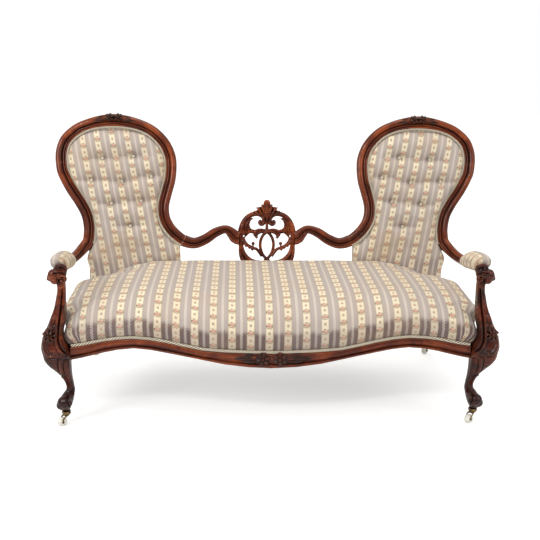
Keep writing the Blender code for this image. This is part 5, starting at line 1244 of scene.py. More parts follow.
# Carving on the legs and arm supports, as seen from the photograph's eye: places on a line, width, height
KNEE = (0.8075, 0.3730)
KNEE_BLOOM_RADIUS = 0.0205
KNEE_BLOOM_HEIGHT = 0.0064
VOLUTE_CENTRE = (0.7505, 0.5810)
VOLUTE_RADIUS = 0.0120
LEG_CARVING_DEPTH = 1.25
LEG_STROKES = [
    ([(0.7700, 0.6060), (0.7690, 0.5940), (0.7660, 0.5780), (0.7600, 0.5660)], 0.0050, -0.0032),
    ([(0.7380, 0.6030), (0.7480, 0.6080), (0.7600, 0.6090), (0.7760, 0.6070)], 0.0050, -0.0045),
    ([KNEE, (KNEE[0] + 0.0001, KNEE[1])], 0.046, 0.0035),
    ([(0.7590, 0.5480), (0.7625, 0.5154), (0.7697, 0.461), (0.7766, 0.4152), (0.7832, 0.3552),
      (0.7765, 0.3225), (0.7623, 0.3037), (0.7370, 0.2940)], 0.0100, 0.0040),
    ([(0.7495, 0.5480), (0.7548, 0.5060), (0.7630, 0.456), (0.7715, 0.408), (0.7765, 0.3575),
      (0.7690, 0.3250), (0.7535, 0.3075), (0.7330, 0.3010)], 0.0052, -0.0052),
    ([(0.7400, 0.5480), (0.7470, 0.4973), (0.7573, 0.4518), (0.766, 0.406), (0.7700, 0.3598),
      (0.761, 0.3270), (0.7446, 0.3110), (0.7300, 0.3080)], 0.0080, 0.0032),
    ([(0.7890, 0.4050), (0.7925, 0.3800), (0.7920, 0.3450), (0.7860, 0.3180), (0.7720, 0.2980)],
     0.0050, -0.0030),
    ([(0.7320, 0.2900), (0.7560, 0.2920), (0.7690, 0.2790), (0.7735, 0.2500), (0.7670, 0.2140)],
     0.0095, 0.0036),
    ([(0.7320, 0.2815), (0.7500, 0.2810), (0.7600, 0.2700), (0.7630, 0.2480), (0.7600, 0.2250)],
     0.0050, -0.0034),
    ([(0.7790, 0.2860), (0.7830, 0.2640), (0.7800, 0.2400), (0.7740, 0.2200)], 0.0050, -0.0034),
    ([(0.8290, 0.3340), (0.8240, 0.3110), (0.8120, 0.2940), (0.7990, 0.2920), (0.7960, 0.3010)],
     0.0070, 0.0042),
    ([(0.8200, 0.3330), (0.8150, 0.3150), (0.8060, 0.3030), (0.8010, 0.3050)], 0.0055, -0.0036),
    ([(0.8180, 0.3000), (0.8060, 0.2840), (0.7920, 0.2840)], 0.0045, -0.0030),
    ([(0.7960, 0.4020), (0.7860, 0.4200), (0.7790, 0.4380)], 0.0130, 0.0040),
    ([(0.7960, 0.4020), (0.7860, 0.4200), (0.7790, 0.4360)], 0.0030, -0.0034),
    ([(0.8010, 0.4080), (0.7960, 0.4240), (0.7920, 0.4380)], 0.0100, 0.0036),
    ([(0.7880, 0.4080), (0.7780, 0.4160), (0.7730, 0.4260)], 0.0090, 0.0030),
    ([(0.7250, 0.1520), (0.7410, 0.1350), (0.7450, 0.1145), (0.7390, 0.1020), (0.7290, 0.1060),
      (0.7270, 0.1180)], 0.0062, 0.0042),
    ([(0.7330, 0.1640), (0.7500, 0.1420), (0.7550, 0.1180), (0.7490, 0.0960)], 0.0048, -0.0048),
    ([(0.7345, 0.1130), (0.7350, 0.1230)], 0.0045, -0.0044)]
LEG_OVERLAP = 0.004


def add_legs():
    """Cabriole legs, arm stems and scroll heads as one carved skin on each side."""
    heap = Heap()
    leg_loft(heap, FRONT_LEG_SHARES, 5, LEG_FOOT_Z, LEG_TOP_Z)
    leg_loft(heap, ARM_STEM_SHARES, 6, LEG_TOP_Z - LEG_OVERLAP, ARM_HEAD_Z + ARM_HEAD_LIFT / 2)
    scroll_head(heap)
    heap.ball(Vector(FOOT_BALL[0]), FOOT_BALL[1], None, 32, 20)
    points, normals, faces = heap.remeshed(0.0015, 7)
    volute = []
    for i in range(28):
        angle = math.radians(120 - 18 * i)
        reach = VOLUTE_RADIUS * (1 - i / 36)
        volute.append((VOLUTE_CENTRE[0] + reach * math.cos(angle),
                       VOLUTE_CENTRE[1] + reach * math.sin(angle)))
    strokes = [(volute, 0.0040, -0.0062)] + LEG_STROKES
    strokes = [(line, width, height * LEG_CARVING_DEPTH) for line, width, height in strokes]
    strokes += bloom(KNEE, KNEE_BLOOM_RADIUS, 7, KNEE_BLOOM_HEIGHT, 0.25)
    points = carve(points, normals, strokes, EYE, FEATURE_PLANE_Y)
    pair("wood_leg_and_arm_support", points, faces, UPRIGHT_WOOD, ("front_leg", "arm_support"), "rosewood",
         smooth=CARVED_ANGLE)


# The rear legs: half their width, their rows at the rail, their corners, and where the uprights start to thin
UPRIGHT_HALF = 0.013
REAR_RAIL_ROWS = [(0.40, 0.014), (0.33, 0.018), (REAR_UNDER_Z, 0.020)]
REAR_LEG_SIDES = 24
REAR_LEG_CORNERS = 0.45
UPRIGHT_LOW_SHARE = 0.25


def upright_depth(height):
    """How deep the uprights are at a height."""
    share = clamped((height - BACK_BASE_Z) / UPRIGHT_RISE, UPRIGHT_LOW_SHARE)
    share = (share - UPRIGHT_LOW_SHARE) / (1 - UPRIGHT_LOW_SHARE)
    return UPRIGHT_DEPTH + (UPRIGHT_TOP_DEPTH - UPRIGHT_DEPTH) * share


def upright_ring(height, lean, half, depth, level):
    face = on_back(UPRIGHT_OUT, height, WOOD_BACK - FIT_GAP)
    rear = on_back(UPRIGHT_OUT, height, WOOD_BACK - FIT_GAP - depth)
    middle = (face + rear) / 2 + REARWARD * lean
    reach = (rear - face).length / 2
    ring = []
    for i in range(REAR_LEG_SIDES):
        u, d = soft_square(2 * math.pi * (i + 0.5) / REAR_LEG_SIDES, REAR_LEG_CORNERS)
        point = middle + OUTWARD * u * half + REARWARD * d * reach
        ring.append(Vector((point.x, point.y, level)))
    return ring


def add_rear_legs():
    """Rear leg and outer upright in one, raked back below the rail."""
    rows = []
    upper = [(BACK_BASE_Z + UPRIGHT_RISE * share, UPRIGHT_HALF) for share in (1, 0.62, UPRIGHT_LOW_SHARE)]
    for height, half in upper + REAR_RAIL_ROWS:
        rows.append((height, height, 0.0, half, upright_depth(height)))
    drop = REAR_UNDER_Z - LEG_FOOT_Z
    for share, sweep, thick in REAR_LEG_SHARES:
        radius = REAR_FOOT_RADIUS * thick
        rows.append((REAR_UNDER_Z - drop * share, REAR_UNDER_Z, REAR_FOOT_SWEEP * sweep, radius,
                     2 * radius * math.cos(BACK_RECLINE)))
    points, uvs = [], []
    fine = smooth_rows(rows, 5, 1)
    for level, height, lean, half, depth in fine:
        ring = upright_ring(height, lean, half, depth, level)
        points += ring
        uvs += [(level, run) for run in run_along(ring)]
    faces = ring_faces(len(fine), REAR_LEG_SIDES)
    pair("wood_rear_leg", points, faces, SWEPT_WOOD, ("rear_leg",), "rosewood", uvs=uvs)


add_front_rail()
add_rail_carving()
add_legs()
add_rear_legs()


# Carving on the crests: blooms by place across and turn, then leaves by offset, lift, length, width and drop

CREST_BLOOMS = [(0.054, 0.2), (0.090, 0.9)]
CREST_BLOOM_RISE = 0.013
CREST_BLOOM_PROUD = 0.0150
CREST_BLOOM_BODY = (0.0200, 0.0175, 0.0070)
CREST_BLOOM_RADIUS = 0.0175
CREST_LEAVES_MIDDLE = 0.072
CREST_LEAVES = [(0.034, 0.013, 0.078, 0.016, -0.002), (0.030, 0.019, 0.050, 0.012, 0.0),
                (0.030, 0.007, 0.052, 0.012, -0.004)]
CREST_LEAF_THICKNESS = 0.0075


def add_crest_carving():
    """Two blooms and trailing leaves on the top of each crest."""
    heap = Heap()
    dense = smooth_rows([(a * HOOP_REACH, u * HOOP_HEIGHT) for a, u, _ in CREST_SHARES], 12, 2)

    def on_crest(across, rise, proud):
        up = float(np.interp(across, dense[:, 0], dense[:, 1]))
        return in_back_plane(across, up + rise, proud)

    normal = (FACE + UPWARD * 0.45).normalized()
    rise = normal.cross(OUTWARD).normalized()
    strokes = []
    for across, turn in CREST_BLOOMS:
        centre = on_crest(across, CREST_BLOOM_RISE, CREST_BLOOM_PROUD)
        heap.ball(centre, CREST_BLOOM_BODY, (OUTWARD, rise, normal), 28, 14)
        strokes += bloom((centre.x, centre.z), CREST_BLOOM_RADIUS, 6, 0.0052, turn)
    for sign in (-1, 1):
        for offset, lift, length, width, drop in CREST_LEAVES:
            root = on_crest(CREST_LEAVES_MIDDLE + sign * offset, lift, 0.0135)
            tip = on_crest(CREST_LEAVES_MIDDLE + sign * (offset + length), lift + drop, 0.0125)
            heap.petal(root, tip - root, normal, length, width, CREST_LEAF_THICKNESS, 0.04, 0.3)
            middle = (root + tip) / 2
            strokes.append(([(point.x, point.z) for point in (root, middle, tip)], 0.0028, -0.0022))
    points, normals, faces = heap.remeshed(CARVING_VOXEL, 2)
    pair("carving_crest", carve(points, normals, strokes), faces, CARVED_WOOD, (), "rosewood",
         smooth=CARVED_ANGLE)


add_crest_carving()


# Centre splat: its bands, spurs and lobes, and the lines cut into it

SPLAT_PITCH = 0.004
SPLAT_VOXEL = 0.0012
SPLAT_FOOT_WIDTHS = (1.16, 1.22, 1.28, 1.30, 1.26, 1.12, 0.90, 0.72)
BAR_SHARES = [(0.0, 0.528), (0.12, 0.540), (0.26, 0.540), (0.38, 0.520), (0.42, 0.480), (0.405, 0.447)]
SPUR_SHARES = [(0.66, 0.305, 0.60, 0.262), (0.56, 0.285, 0.50, 0.235), (0.76, 0.345, 0.72, 0.290),
               (0.86, 0.400, 0.80, 0.330)]
LOBE_SHARES = [(0.0, 0.70, 0.0, 0.985, 0.017), (0.04, 0.72, 0.16, 0.930, 0.012),
               (0.06, 0.72, 0.36, 0.888, 0.012), (0.08, 0.72, 0.46, 0.836, 0.011)]
FINIAL_NARROWING = 0.80
FINIAL_TIP_SHARE = 0.9
SPLAT_STROKES = [
    ([(0.44, 0.712), (0.58, 0.672), (0.69, 0.59), (0.725, 0.49), (0.74, 0.43)], 0.0042, -0.0042),
    ([(0.66, 0.670), (0.76, 0.600), (0.785, 0.50)], 0.0036, -0.0032),
    ([(0.60, 0.610), (0.655, 0.56), (0.66, 0.50), (0.62, 0.475)], 0.0036, -0.0034),
    ([(0.52, 0.560), (0.58, 0.535), (0.56, 0.508), (0.46, 0.500)], 0.0036, -0.0034),
    ([(0.0, 0.60), (0.035, 0.70), (0.085, 0.80), (0.105, 0.90)], 0.0036, -0.0050),
    ([(0.05, 0.70), (0.13, 0.78), (0.21, 0.86), (0.235, 0.90)], 0.0036, -0.0048),
    ([(0.08, 0.70), (0.19, 0.765), (0.32, 0.825), (0.40, 0.865)], 0.0036, -0.0046),
    ([(0.13, 0.72), (0.28, 0.770), (0.42, 0.795), (0.50, 0.815)], 0.0036, -0.0042),
    ([(0.905, 0.330), (0.880, 0.230), (0.820, 0.150), (0.740, 0.090)], 0.0042, -0.0040),
    ([(0.840, 0.250), (0.790, 0.190), (0.700, 0.140)], 0.0036, -0.0026),
    ([(0.51, 0.712), (0.65, 0.665), (0.75, 0.58), (0.765, 0.49)], 0.0040, 0.0020),
    ([(0.62, 0.630), (0.69, 0.57), (0.70, 0.48)], 0.0040, 0.0020),
    ([(0.06, 0.76), (0.15, 0.85), (0.17, 0.92)], 0.0040, 0.0018),
    ([(0.12, 0.76), (0.26, 0.84), (0.36, 0.88)], 0.0040, 0.0018)]


def band_rings(shares, widths, thickness, level, mirror=1):
    """Sections along a band of the splat, mirrored where the mirror is -1."""
    ratio = SPLAT_HALF_WIDTH / SPLAT_HEIGHT
    rows = [(across * ratio, up, width) for (across, up), width in zip(shares, widths)]
    dense = smooth_rows(rows, axes=2)
    count = max(3, round(line_length(dense, 2) * SPLAT_HEIGHT / SPLAT_PITCH) + 1)
    even = even_rows(dense, count, 2)
    turns = np.gradient(even[:, :2], axis=0)
    rings = []
    for (across, up, width), (du, dv) in zip(even, turns):
        length = math.hypot(du, dv)
        ring = []
        for a, b in BAND_LOOK:
            u = across - dv / length * a * width / SPLAT_HEIGHT
            v = up + du / length * a * width / SPLAT_HEIGHT
            ring.append(splat_point(mirror * u / ratio, v, level + b * thickness))
        rings.append(ring)
    return rings


def plate_rings(shares, thickness, level, mirror=1):
    faces = (level - thickness / 2, level + thickness / 2)
    return [[splat_point(mirror * a, u, face) for a, u in shares] for face in faces]


def add_splat_side(heap, mirror):
    """One half of the splat: its C scroll, crossing strand, branch, berries, leaf, bar and spurs."""
    strand, thick = SPLAT_STRAND_WIDTH * 1.22, SPLAT_THICKNESS
    over = mirror * thick / 50
    scroll = [max(share, 0.66 + 0.05 * i) * SPLAT_BAND_WIDTH * 1.14
              for i, share in enumerate(SCROLL_WIDTH_SHARES)]
    scroll[-len(SPLAT_FOOT_WIDTHS):] = [SPLAT_BAND_WIDTH * share for share in SPLAT_FOOT_WIDTHS]
    heap.loft(band_rings(SCROLL_SHARES, scroll, thick, over, mirror))
    for shares, widths, depth, level in (
            (OUTER_STRAND_SHARES, (1, 1.3, 1.5, 1.4, 1), 0.84, over),
            (VESICA_SHARES, (*[1] * 10, 1.1, 0.7), 0.68, mirror * thick / 7),
            (BRANCH_SHARES, (1.5, 1.25, 1.1, 1.05, 1.0, 1.0, 1.0), 0.62, over - thick / 14),
            (BERRY_SHARES, (0.5, 0.5), 0.3, over)):
        heap.loft(band_rings(shares, [strand * share for share in widths], thick * depth, level, mirror))
    heap.loft(plate_rings(LEAF_SHARES, thick * 0.50, over - thick / 11, mirror))
    bar = [strand * share for share in (0.7, 0.85, 1.0, 1.05, 1.1, 0.9)]
    heap.loft(band_rings(BAR_SHARES, bar, thick * 0.8, over + thick * 0.05, mirror))
    for across, up in (BERRY_SHARES[-1], EYE_SHARES):
        heap.ball(splat_point(mirror * across, up, over + thick * 0.12), (strand * 0.62,) * 3)
    for across, up, tip_across, tip_up in SPUR_SHARES:
        root = splat_point(mirror * across, up, over)
        tip = splat_point(mirror * tip_across, tip_up, over)
        heap.petal(root, tip - root, Vector((0, -1, 0.17)), (tip - root).length * 1.3, 0.011, 0.007)


def add_splat():
    """Two C scrolls that meet under a leaf, two crossing strands, and branches with berries."""
    heap = Heap()
    strand, thick = SPLAT_STRAND_WIDTH * 1.22, SPLAT_THICKNESS
    for mirror in (1, -1):
        add_splat_side(heap, mirror)
    stem = [strand * share for share in (1.1, 0.9, 1.2)]
    heap.loft(band_rings(STEM_SHARES, stem, thick * 0.74, -thick / 20))
    finial = [(a * (1 if u > FINIAL_TIP_SHARE else FINIAL_NARROWING), u) for a, u in FINIAL_SHARES]
    finial += [(-a, u) for a, u in finial[-2:0:-1]]
    heap.loft(plate_rings(finial, thick * 0.62, 0.0))
    normal = (splat_point(0, 0, 1) - splat_point(0, 0, 0)).normalized()
    for mirror in (1, -1):
        for a0, u0, a1, u1, width in LOBE_SHARES:
            root, tip = splat_point(mirror * a0, u0, 0.002), splat_point(mirror * a1, u1, 0.005)
            heap.petal(root, tip - root, normal, (tip - root).length * 1.02, width, 0.010, 0.06, 0.2)
    bottom = (REAR_TOP_Z + FIT_GAP - BACK_BASE_Z) / (SPLAT_HEIGHT * math.cos(SPLAT_RECLINE))
    foot = FOOT_SHARES + [(FOOT_SHARES[-1][0], bottom)]
    foot += [(-a, u) for a, u in foot[::-1]]
    heap.loft(plate_rings(foot, thick * 0.95, -thick / 100))
    points, normals, faces = heap.remeshed(SPLAT_VOXEL, 2)

    def drawn(pairs, mirror=1):
        places = [splat_point(mirror * a, u) for a, u in pairs]
        return [(place.x, place.z) for place in places]

    strokes = [(drawn(pairs, mirror), width, height)
               for mirror in (1, -1) for pairs, width, height in SPLAT_STROKES]
    for i in range(6):
        up = 0.775 + 0.034 * i
        strokes.append((drawn([(0.0, up), (0.0, up + 0.002)]), 0.0056 + 0.0006 * i, 0.0034))
        strokes.append((drawn([(-0.03, up + 0.017), (0.03, up + 0.017)]), 0.0030, -0.0026))
    points = carve(points, normals, strokes)
    single("wood_centre_splat", points, faces, SPLAT_WOOD, ["centre_splat"], "rosewood", smooth=CARVED_ANGLE)


add_splat()


# Upholstery

CLOTH_ANGLE = 70.0


def stuffed(piece, hold, pressure, cap, frames):
    """Lets the cover swell like stuffing under cloth, held where `hold` is 1, and applies the result."""
    mesh = piece.data
    rest = read_rows(mesh)
    group = piece.vertex_groups.new(name="hold")
    for index, value in enumerate(hold):
        if value > 0:
            group.add([index], float(value), "REPLACE")
    step = piece.modifiers.new("stuffing", "CLOTH")
    settings = step.settings
    settings.quality = 5
    settings.mass = 0.25
    settings.tension_stiffness = 18
    settings.compression_stiffness = 18
    settings.shear_stiffness = 8
    settings.bending_stiffness = 0.6
    settings.use_pressure = True
    settings.uniform_pressure_force = pressure
    settings.vertex_group_mass = "hold"
    settings.pin_stiffness = 1.0
    settings.effector_weights.gravity = 0
    step.collision_settings.use_collision = False
    step.point_cache.frame_start = 1
    step.point_cache.frame_end = frames
    scene = bpy.context.scene
    for number in range(1, frames + 1):
        scene.frame_set(number)
    held = evaluated(piece)
    moved = read_rows(held)
    piece.modifiers.remove(step)
    piece.vertex_groups.clear()
    bpy.data.meshes.remove(held)
    scene.frame_set(1)
    offset = moved - rest
    reach = np.linalg.norm(offset, axis=1, keepdims=True)
    offset *= np.minimum(1, cap / np.maximum(reach, 1e-9))
    mesh.vertices.foreach_set("co", (rest + offset).ravel())
    mesh.update()


# How much wider than its solid the seat's flank is drawn, where it is fullest
SEAT_FLANK_BULGE = 1.18

# Where the seat starts to fall away to its rear corners, and how far each way that takes
CORNER_START_X = 0.47
CORNER_REACH_X = 0.272
CORNER_START_Y = -0.04
CORNER_REACH_Y = 0.205

# The dark band of painted shade along the front, under the seat's roll: its run up the cloth, its fade, and
# the waves of its ragged edge
FRONT_SHADE_RUN = 0.094
FRONT_SHADE_FADE = 0.022
FRONT_SHADE_WAVES = [(61, 0, 0.0030), (173, 1, 0.0030), (419, 0, 0.0022)]

# Rows and columns of the seat's grid: how finely it is divided, the row that its stripes are measured on, and
# how many stay held while it swells
SEAT_STEPS = 6
STRIPE_ROW = 60
HELD_FRONT, HELD_REAR, HELD_SIDE = 10, 26, 6


def seat_columns():
    half = SEAT_HALF_WIDTH - 2 * FIT_GAP
    right = [(share * half, 0.0, wave(SEAT_FLANK_SHARES, share)) for share in RAIL_STATION_SHARES[:-1]]
    right += [(share * half, swell * SEAT_BULGE, full) for share, swell, full in SEAT_SIDE_SHARES]
    return [(-x, -swell, full) for x, swell, full in right[:0:-1]] + right


def seat_point(column, row):
    x0, swell, across_full = column
    front = front_line(x0) + SEAT_FRONT_SET
    if row < len(SEAT_ROW_SHARES):
        run, full, spread = SEAT_ROW_SHARES[row]
        run = across_full * run + (1 - across_full) * max(run, SEAT_CORNER_SHARE * row)
        y = front + run * (SHELF_Y - front)
        z = rail_top(x0, y) + LAID_GAP
        z += (SEAT_CROWN_Z - z) * full * across_full
        return (x0 + swell * spread * (SEAT_FLANK_BULGE if spread == 1 else 1), y, z)
    row -= len(SEAT_ROW_SHARES)
    base = REAR_TOP_Z + LAID_GAP
    if row < len(SEAT_REAR_SHARES):
        full, spread = SEAT_REAR_SHARES[row]
        x = x0 + swell * spread
        z = base + (SEAT_CROWN_Z - base) * full * across_full
        return (x, back_y(x, z, BACK_SKIRT_FACE + PAD_CLEARANCE), z)
    full = SEAT_REAR_SHARES[-1][0] * 0.9 if row == len(SEAT_REAR_SHARES) else 0
    z = base + (SEAT_CROWN_Z - base) * full * across_full
    return (x0, back_y(x0, z, -SEAT_TONGUE), z)


def seat_top():
    """The seat's upper surface as a grid of points, eased at its crown and lowered at its rear corners."""
    rows = len(SEAT_ROW_SHARES) + len(SEAT_REAR_SHARES) + 2
    coarse = np.array([[seat_point(column, row) for row in range(rows)] for column in seat_columns()])
    top = smooth_grid(smooth_grid(coarse, SEAT_STEPS, 1), SEAT_STEPS, 0)
    x, y, z = top[:, :, 0], top[:, :, 1], top[:, :, 2]
    z[:] = np.maximum(z, rail_top(x, y) + LAID_GAP)
    side = np.clip((np.abs(x) - CORNER_START_X) / CORNER_REACH_X, 0, 1) ** 1.7
    rear = np.clip((y - CORNER_START_Y) / CORNER_REACH_Y, 0, 1) ** 2
    z -= np.maximum(z - REAR_TOP_Z - LAID_GAP, 0) * side * rear * CORNER_DROP_SHARE
    over = z - (SEAT_CROWN_Z - SEAT_EASE)
    z -= np.where(over > 0, over * 0.5, 0) + SEAT_EASE * np.clip(over / 0.03 + 1, 0, 1)
    return top


def add_seat():
    """The sprung seat: domed, rolled over the front, with its underside hollow over the springs."""
    top = seat_top()
    wide, deep = top.shape[:2]
    across = run_along(top[:, STRIPE_ROW])
    across -= across[wide // 2]
    run = np.array([run_along(column) for column in top])
    points = list(top.reshape(-1, 3))
    uvs = [(across[i] + SEAT_STRIPE_SHIFT, run[i, j] + SPRIG_REPEAT / 2)
           for i in range(wide) for j in range(deep)]
    # Painted shade along the seat's front, under its roll, with a ragged upper edge
    ragged = sum(np.sin(across * pace + start) * reach for pace, start, reach in FRONT_SHADE_WAVES)
    fade = np.clip((FRONT_SHADE_RUN + ragged[:, None] - run) / FRONT_SHADE_FADE, 0, 1)
    shade = list((fade * fade * (3 - 2 * fade)).reshape(-1))
    faces = [(i * deep + j, (i + 1) * deep + j, (i + 1) * deep + j + 1, i * deep + j + 1)
             for i in range(wide - 1) for j in range(deep - 1)]
    wall = SEAT_CAVITY_WALL
    under = np.arange(wide * deep).reshape(wide, deep)
    for i in range(1, wide - 1):
        for j in range(1, deep - 1):
            x0 = top[i, 0, 0]
            first, last = top[i, 0, 1], top[i, -1, 1]
            y = first + (last - first) * j / (deep - 1)
            inside = abs(x0) < SEAT_HALF_WIDTH - wall and FRONT_RAIL_Y + wall < y < SHELF_Y - wall / 5
            under[i, j] = len(points)
            points.append((x0, y, SEAT_CAVITY_Z if inside else rail_top(x0, y) + LAID_GAP))
            uvs.append((x0, y))
            shade.append(0.0)
    faces += [(under[i, j], under[i, j + 1], under[i + 1, j + 1], under[i + 1, j])
              for i in range(wide - 1) for j in range(deep - 1)]
    faces = [tuple(dict.fromkeys(face)) for face in faces]
    faces = [face for face in faces if len(face) > 2]
    seat = single("cover_seat", points, faces, SEAT_CLOTH, ["seat_cushion"], "striped_cover", uvs=uvs,
                  smooth=CLOTH_ANGLE, shade=shade)
    hold = np.ones(len(points))
    grid = np.ones((wide, deep))
    grid[HELD_SIDE:-HELD_SIDE, HELD_FRONT:-HELD_REAR] = 0
    hold[:wide * deep] = grid.reshape(-1)
    stuffed(seat, hold, 1.2, 0.005, 10)


def inner_edge(side, proud):
    table = []
    for key in ("inner", "crest") if side == "inner" else ("crest", "outer"):
        for centre, across, face, scale, _, _ in COARSE[key]:
            point = centre - across * MOULDING_WIDTH * scale / 2 + face * proud * MOULDING_DEPTH
            table.append((point.z, (point - BASE).dot(OUTWARD), centre.y))
    middle = max(table)
    if side == "inner":
        kept = [row for row in table if row[1] <= middle[1]]
    else:
        kept = [row for row in table if row[1] >= middle[1] and row[2] > BACK_BASE_Y + ARM_BACK_SET]
    heights, places, _ = zip(*sorted(kept))
    return heights, places


def pad_edges():
    inner = [inner_edge("inner", share) for share in PAD_EDGE_SHARES]
    outer = [inner_edge("outer", share) for share in PAD_EDGE_SHARES]
    top = min(heights[-1] for heights, _ in inner + outer) - PAD_CLEARANCE - PAD_TOP_SET
    waist_z = BACK_BASE_Z + SKIRT_SHARES[-1][0] * HOOP_HEIGHT
    skirt = wave_table(SKIRT_SHARES)

    def limits(height):
        levels = [height]
        if height < BACK_BASE_Z + HOOP_HEIGHT * PAD_WAIST_SHARE:
            levels += [height - PAD_WAIST_LOOK, height + PAD_WAIST_LOOK]
        left = max(float(np.interp(level, *edge)) for edge in inner for level in levels)
        left = max(left, -PAD_SPREAD) + PAD_CLEARANCE
        if height < waist_z:
            share = (height - BACK_BASE_Z) / HOOP_HEIGHT
            right = PAD_SPREAD * float(np.interp(max(share, 0), *skirt))
        else:
            right = min(float(np.interp(level, *edge)) for edge in outer for level in levels)
        return left, right - PAD_CLEARANCE

    return limits, top


def slice_heights(low, high, count):
    steps = [1 - (1 - i / (count - 1)) ** 1.35 for i in range(count)]
    return [low + (high - low) * step for step in steps]


# The backs: the roll at their edge, the dents and creases at their buttons, and the painted shade at their
# foot and above their creases
BACK_ROWS = 170
BACK_COLUMNS = 64
BACK_ROLL_SHARE = 0.85
BACK_SWELL_START = 0.06
BACK_SWELL_SPAN = 0.22
DENT_REACH = 0.024
CREASE_HALF = 0.072
CREASE_ABOVE = 0.032
CREASE_BELOW = 0.009
BUTTON_PIT = 0.009
TUFT_DEPTH = 0.021
TUFT_LIMIT = 1.25
FRINGE_Z = 0.512
FRINGE_FADE = 0.030
CREASE_SHADE_HALF = 0.066
CREASE_SHADE_RISE = 0.017
BUTTON_RADII = (0.0068, 0.0068, 0.0046)
BUTTON_PROUD = 0.0050
BACK_SCALE = math.cos(BACK_RECLINE)
TUFTS = [(across * HOOP_REACH, BACK_BASE_Z + up * HOOP_HEIGHT * BACK_SCALE) for across, up in TUFT_SHARES]


def along_back(height):
    return (height - BACK_BASE_Z) / BACK_SCALE


def striped_uv(across, up):
    """A back's cloth coordinates, with the stripes along its own lean."""
    return (across - STRIPE_LEAN * (up - STRIPE_LEAN_HEIGHT) + BACK_STRIPE_SHIFT, up)


def pad_face(outline):
    """How proud a back's face is at any place on it."""
    def proud(across, height):
        gap = float(np.hypot(outline[:, 0] - across, (outline[:, 1] - height) / BACK_SCALE).min())
        roll = math.sqrt(max(0.0, 1 - (1 - min(gap / (BACK_ROLL * BACK_ROLL_SHARE), 1)) ** 2))
        rise = (height - BACK_BASE_Z) / HOOP_HEIGHT
        swell = clamped((rise - BACK_SWELL_START) / BACK_SWELL_SPAN)
        full = BACK_SKIRT_FACE + (BACK_CROWN - BACK_SKIRT_FACE) * swell
        sunk = 0.0
        for x, z in TUFTS:
            dx, dz = across - x, (height - z) / BACK_SCALE
            crease = CREASE_ABOVE if dz > 0 else CREASE_BELOW
            sunk += 0.55 * math.exp(-(dx * dx + dz * dz) / DENT_REACH ** 2 * 1.6)
            sunk += 0.80 * math.exp(-(dx / CREASE_HALF) ** 4 - (dz / crease) ** 2)
            sunk += 0.15 * math.exp(-(math.hypot(dx, dz) / BUTTON_PIT) ** 2)
        return BACK_RIM + (full - BACK_RIM) * roll - TUFT_DEPTH * min(sunk, TUFT_LIMIT) * roll

    return proud


def back_shade(point, uv):
    """Painted shade at a back's foot, where it meets the seat, and above its creases."""
    s, up = uv
    # Painted shade along the foot, where the back meets the seat
    fringe = FRINGE_Z + 0.004 * math.sin(s * 230) + 0.004 * math.sin(s * 90 + 2)
    painted_shade = 0.45 * clamped((fringe - point.z) / FRINGE_FADE)
    across = s + STRIPE_LEAN * (up - STRIPE_LEAN_HEIGHT) - BACK_STRIPE_SHIFT
    # Painted shade just above each row of creases
    for x, z in TUFTS:
        rise = (up - along_back(z)) / CREASE_SHADE_RISE
        if rise > 0:
            painted_shade += 0.42 * math.exp(-((across - x) / CREASE_SHADE_HALF) ** 4 - rise ** 2)
    return min(painted_shade, 0.6)


def add_backs():
    """Buttoned backs, with the stripes along each back's own lean."""
    limits, top = pad_edges()
    outline = []
    for height in np.linspace(PAD_BOTTOM_Z, top, 220):
        left, right = limits(height)
        outline += [(left, height), (right, height)]
    left, right = limits(top)
    outline += [(left + (right - left) * i / 16, top) for i in range(17)]
    proud = pad_face(np.array(outline))
    rear = WOOD_BACK + LINING_THICKNESS + FIT_GAP
    points, uvs, hold = [], [], []
    for row, height in enumerate(slice_heights(PAD_BOTTOM_Z, top, BACK_ROWS)):
        left, right = limits(height)
        up = along_back(height)
        for i in range(BACK_COLUMNS):
            across = left + (right - left) * i / (BACK_COLUMNS - 1)
            points.append(on_back(across, height, proud(across, height)))
            uvs.append(striped_uv(across, up))
            near = min(math.hypot(across - x, (height - z) / BACK_SCALE) for x, z in TUFTS)
            edge = i < 3 or i > BACK_COLUMNS - 4 or row < 34 or row > BACK_ROWS - 5
            hold.append(1.0 if edge or near < BUTTON_PIT else 0.0)
        for across in (right, left):
            points.append(on_back(across, height, rear))
            uvs.append((across, up))
            hold.append(1.0)
    shade = [back_shade(point, uv) for point, uv in zip(points, uvs)]
    right_pad, left_pad = pair("cover_back", points, ring_faces(BACK_ROWS, BACK_COLUMNS + 2), BACK_CLOTH,
                               ("back_cushion",), "striped_cover", uvs=uvs, smooth=CLOTH_ANGLE, shade=shade)
    stuffed(right_pad, hold, 2.0, 0.006, 12)
    moved = read_rows(right_pad.data) * (-1, 1, 1)
    left_pad.data.vertices.foreach_set("co", moved.ravel())
    left_pad.data.update()
    heap = Heap()
    for x, z in TUFTS:
        heap.ball(on_back(x, z, proud(x, z) + BUTTON_PROUD), BUTTON_RADII, (OUTWARD, UPWARD, FACE), 20, 12)
    pair("buttons_back", heap.points, heap.faces, BUTTON_CLOTH, (), "striped_cover", smooth=CLOTH_ANGLE)


# Cords: how thick each strand is, how long a turn takes, and where the back's cord and welt lie
ROPE_STRANDS = 3
STRAND_SHARE = 0.44
ROPE_PITCH = 0.0018
FRONT_TURN = 0.037
FRONT_CORD_LIFT = 1.1
BACK_CORD_RADIUS = 0.0044
BACK_TURN = 0.026
BACK_CORD_OUT = 0.0005
BACK_CORD_PROUD = 0.0105
WELT_SECTION = [(0.0, -0.004), (0.0, 0.0070), (0.006, 0.0078), (0.013, 0.0060), (0.020, 0.0010),
                (0.020, -0.004)]


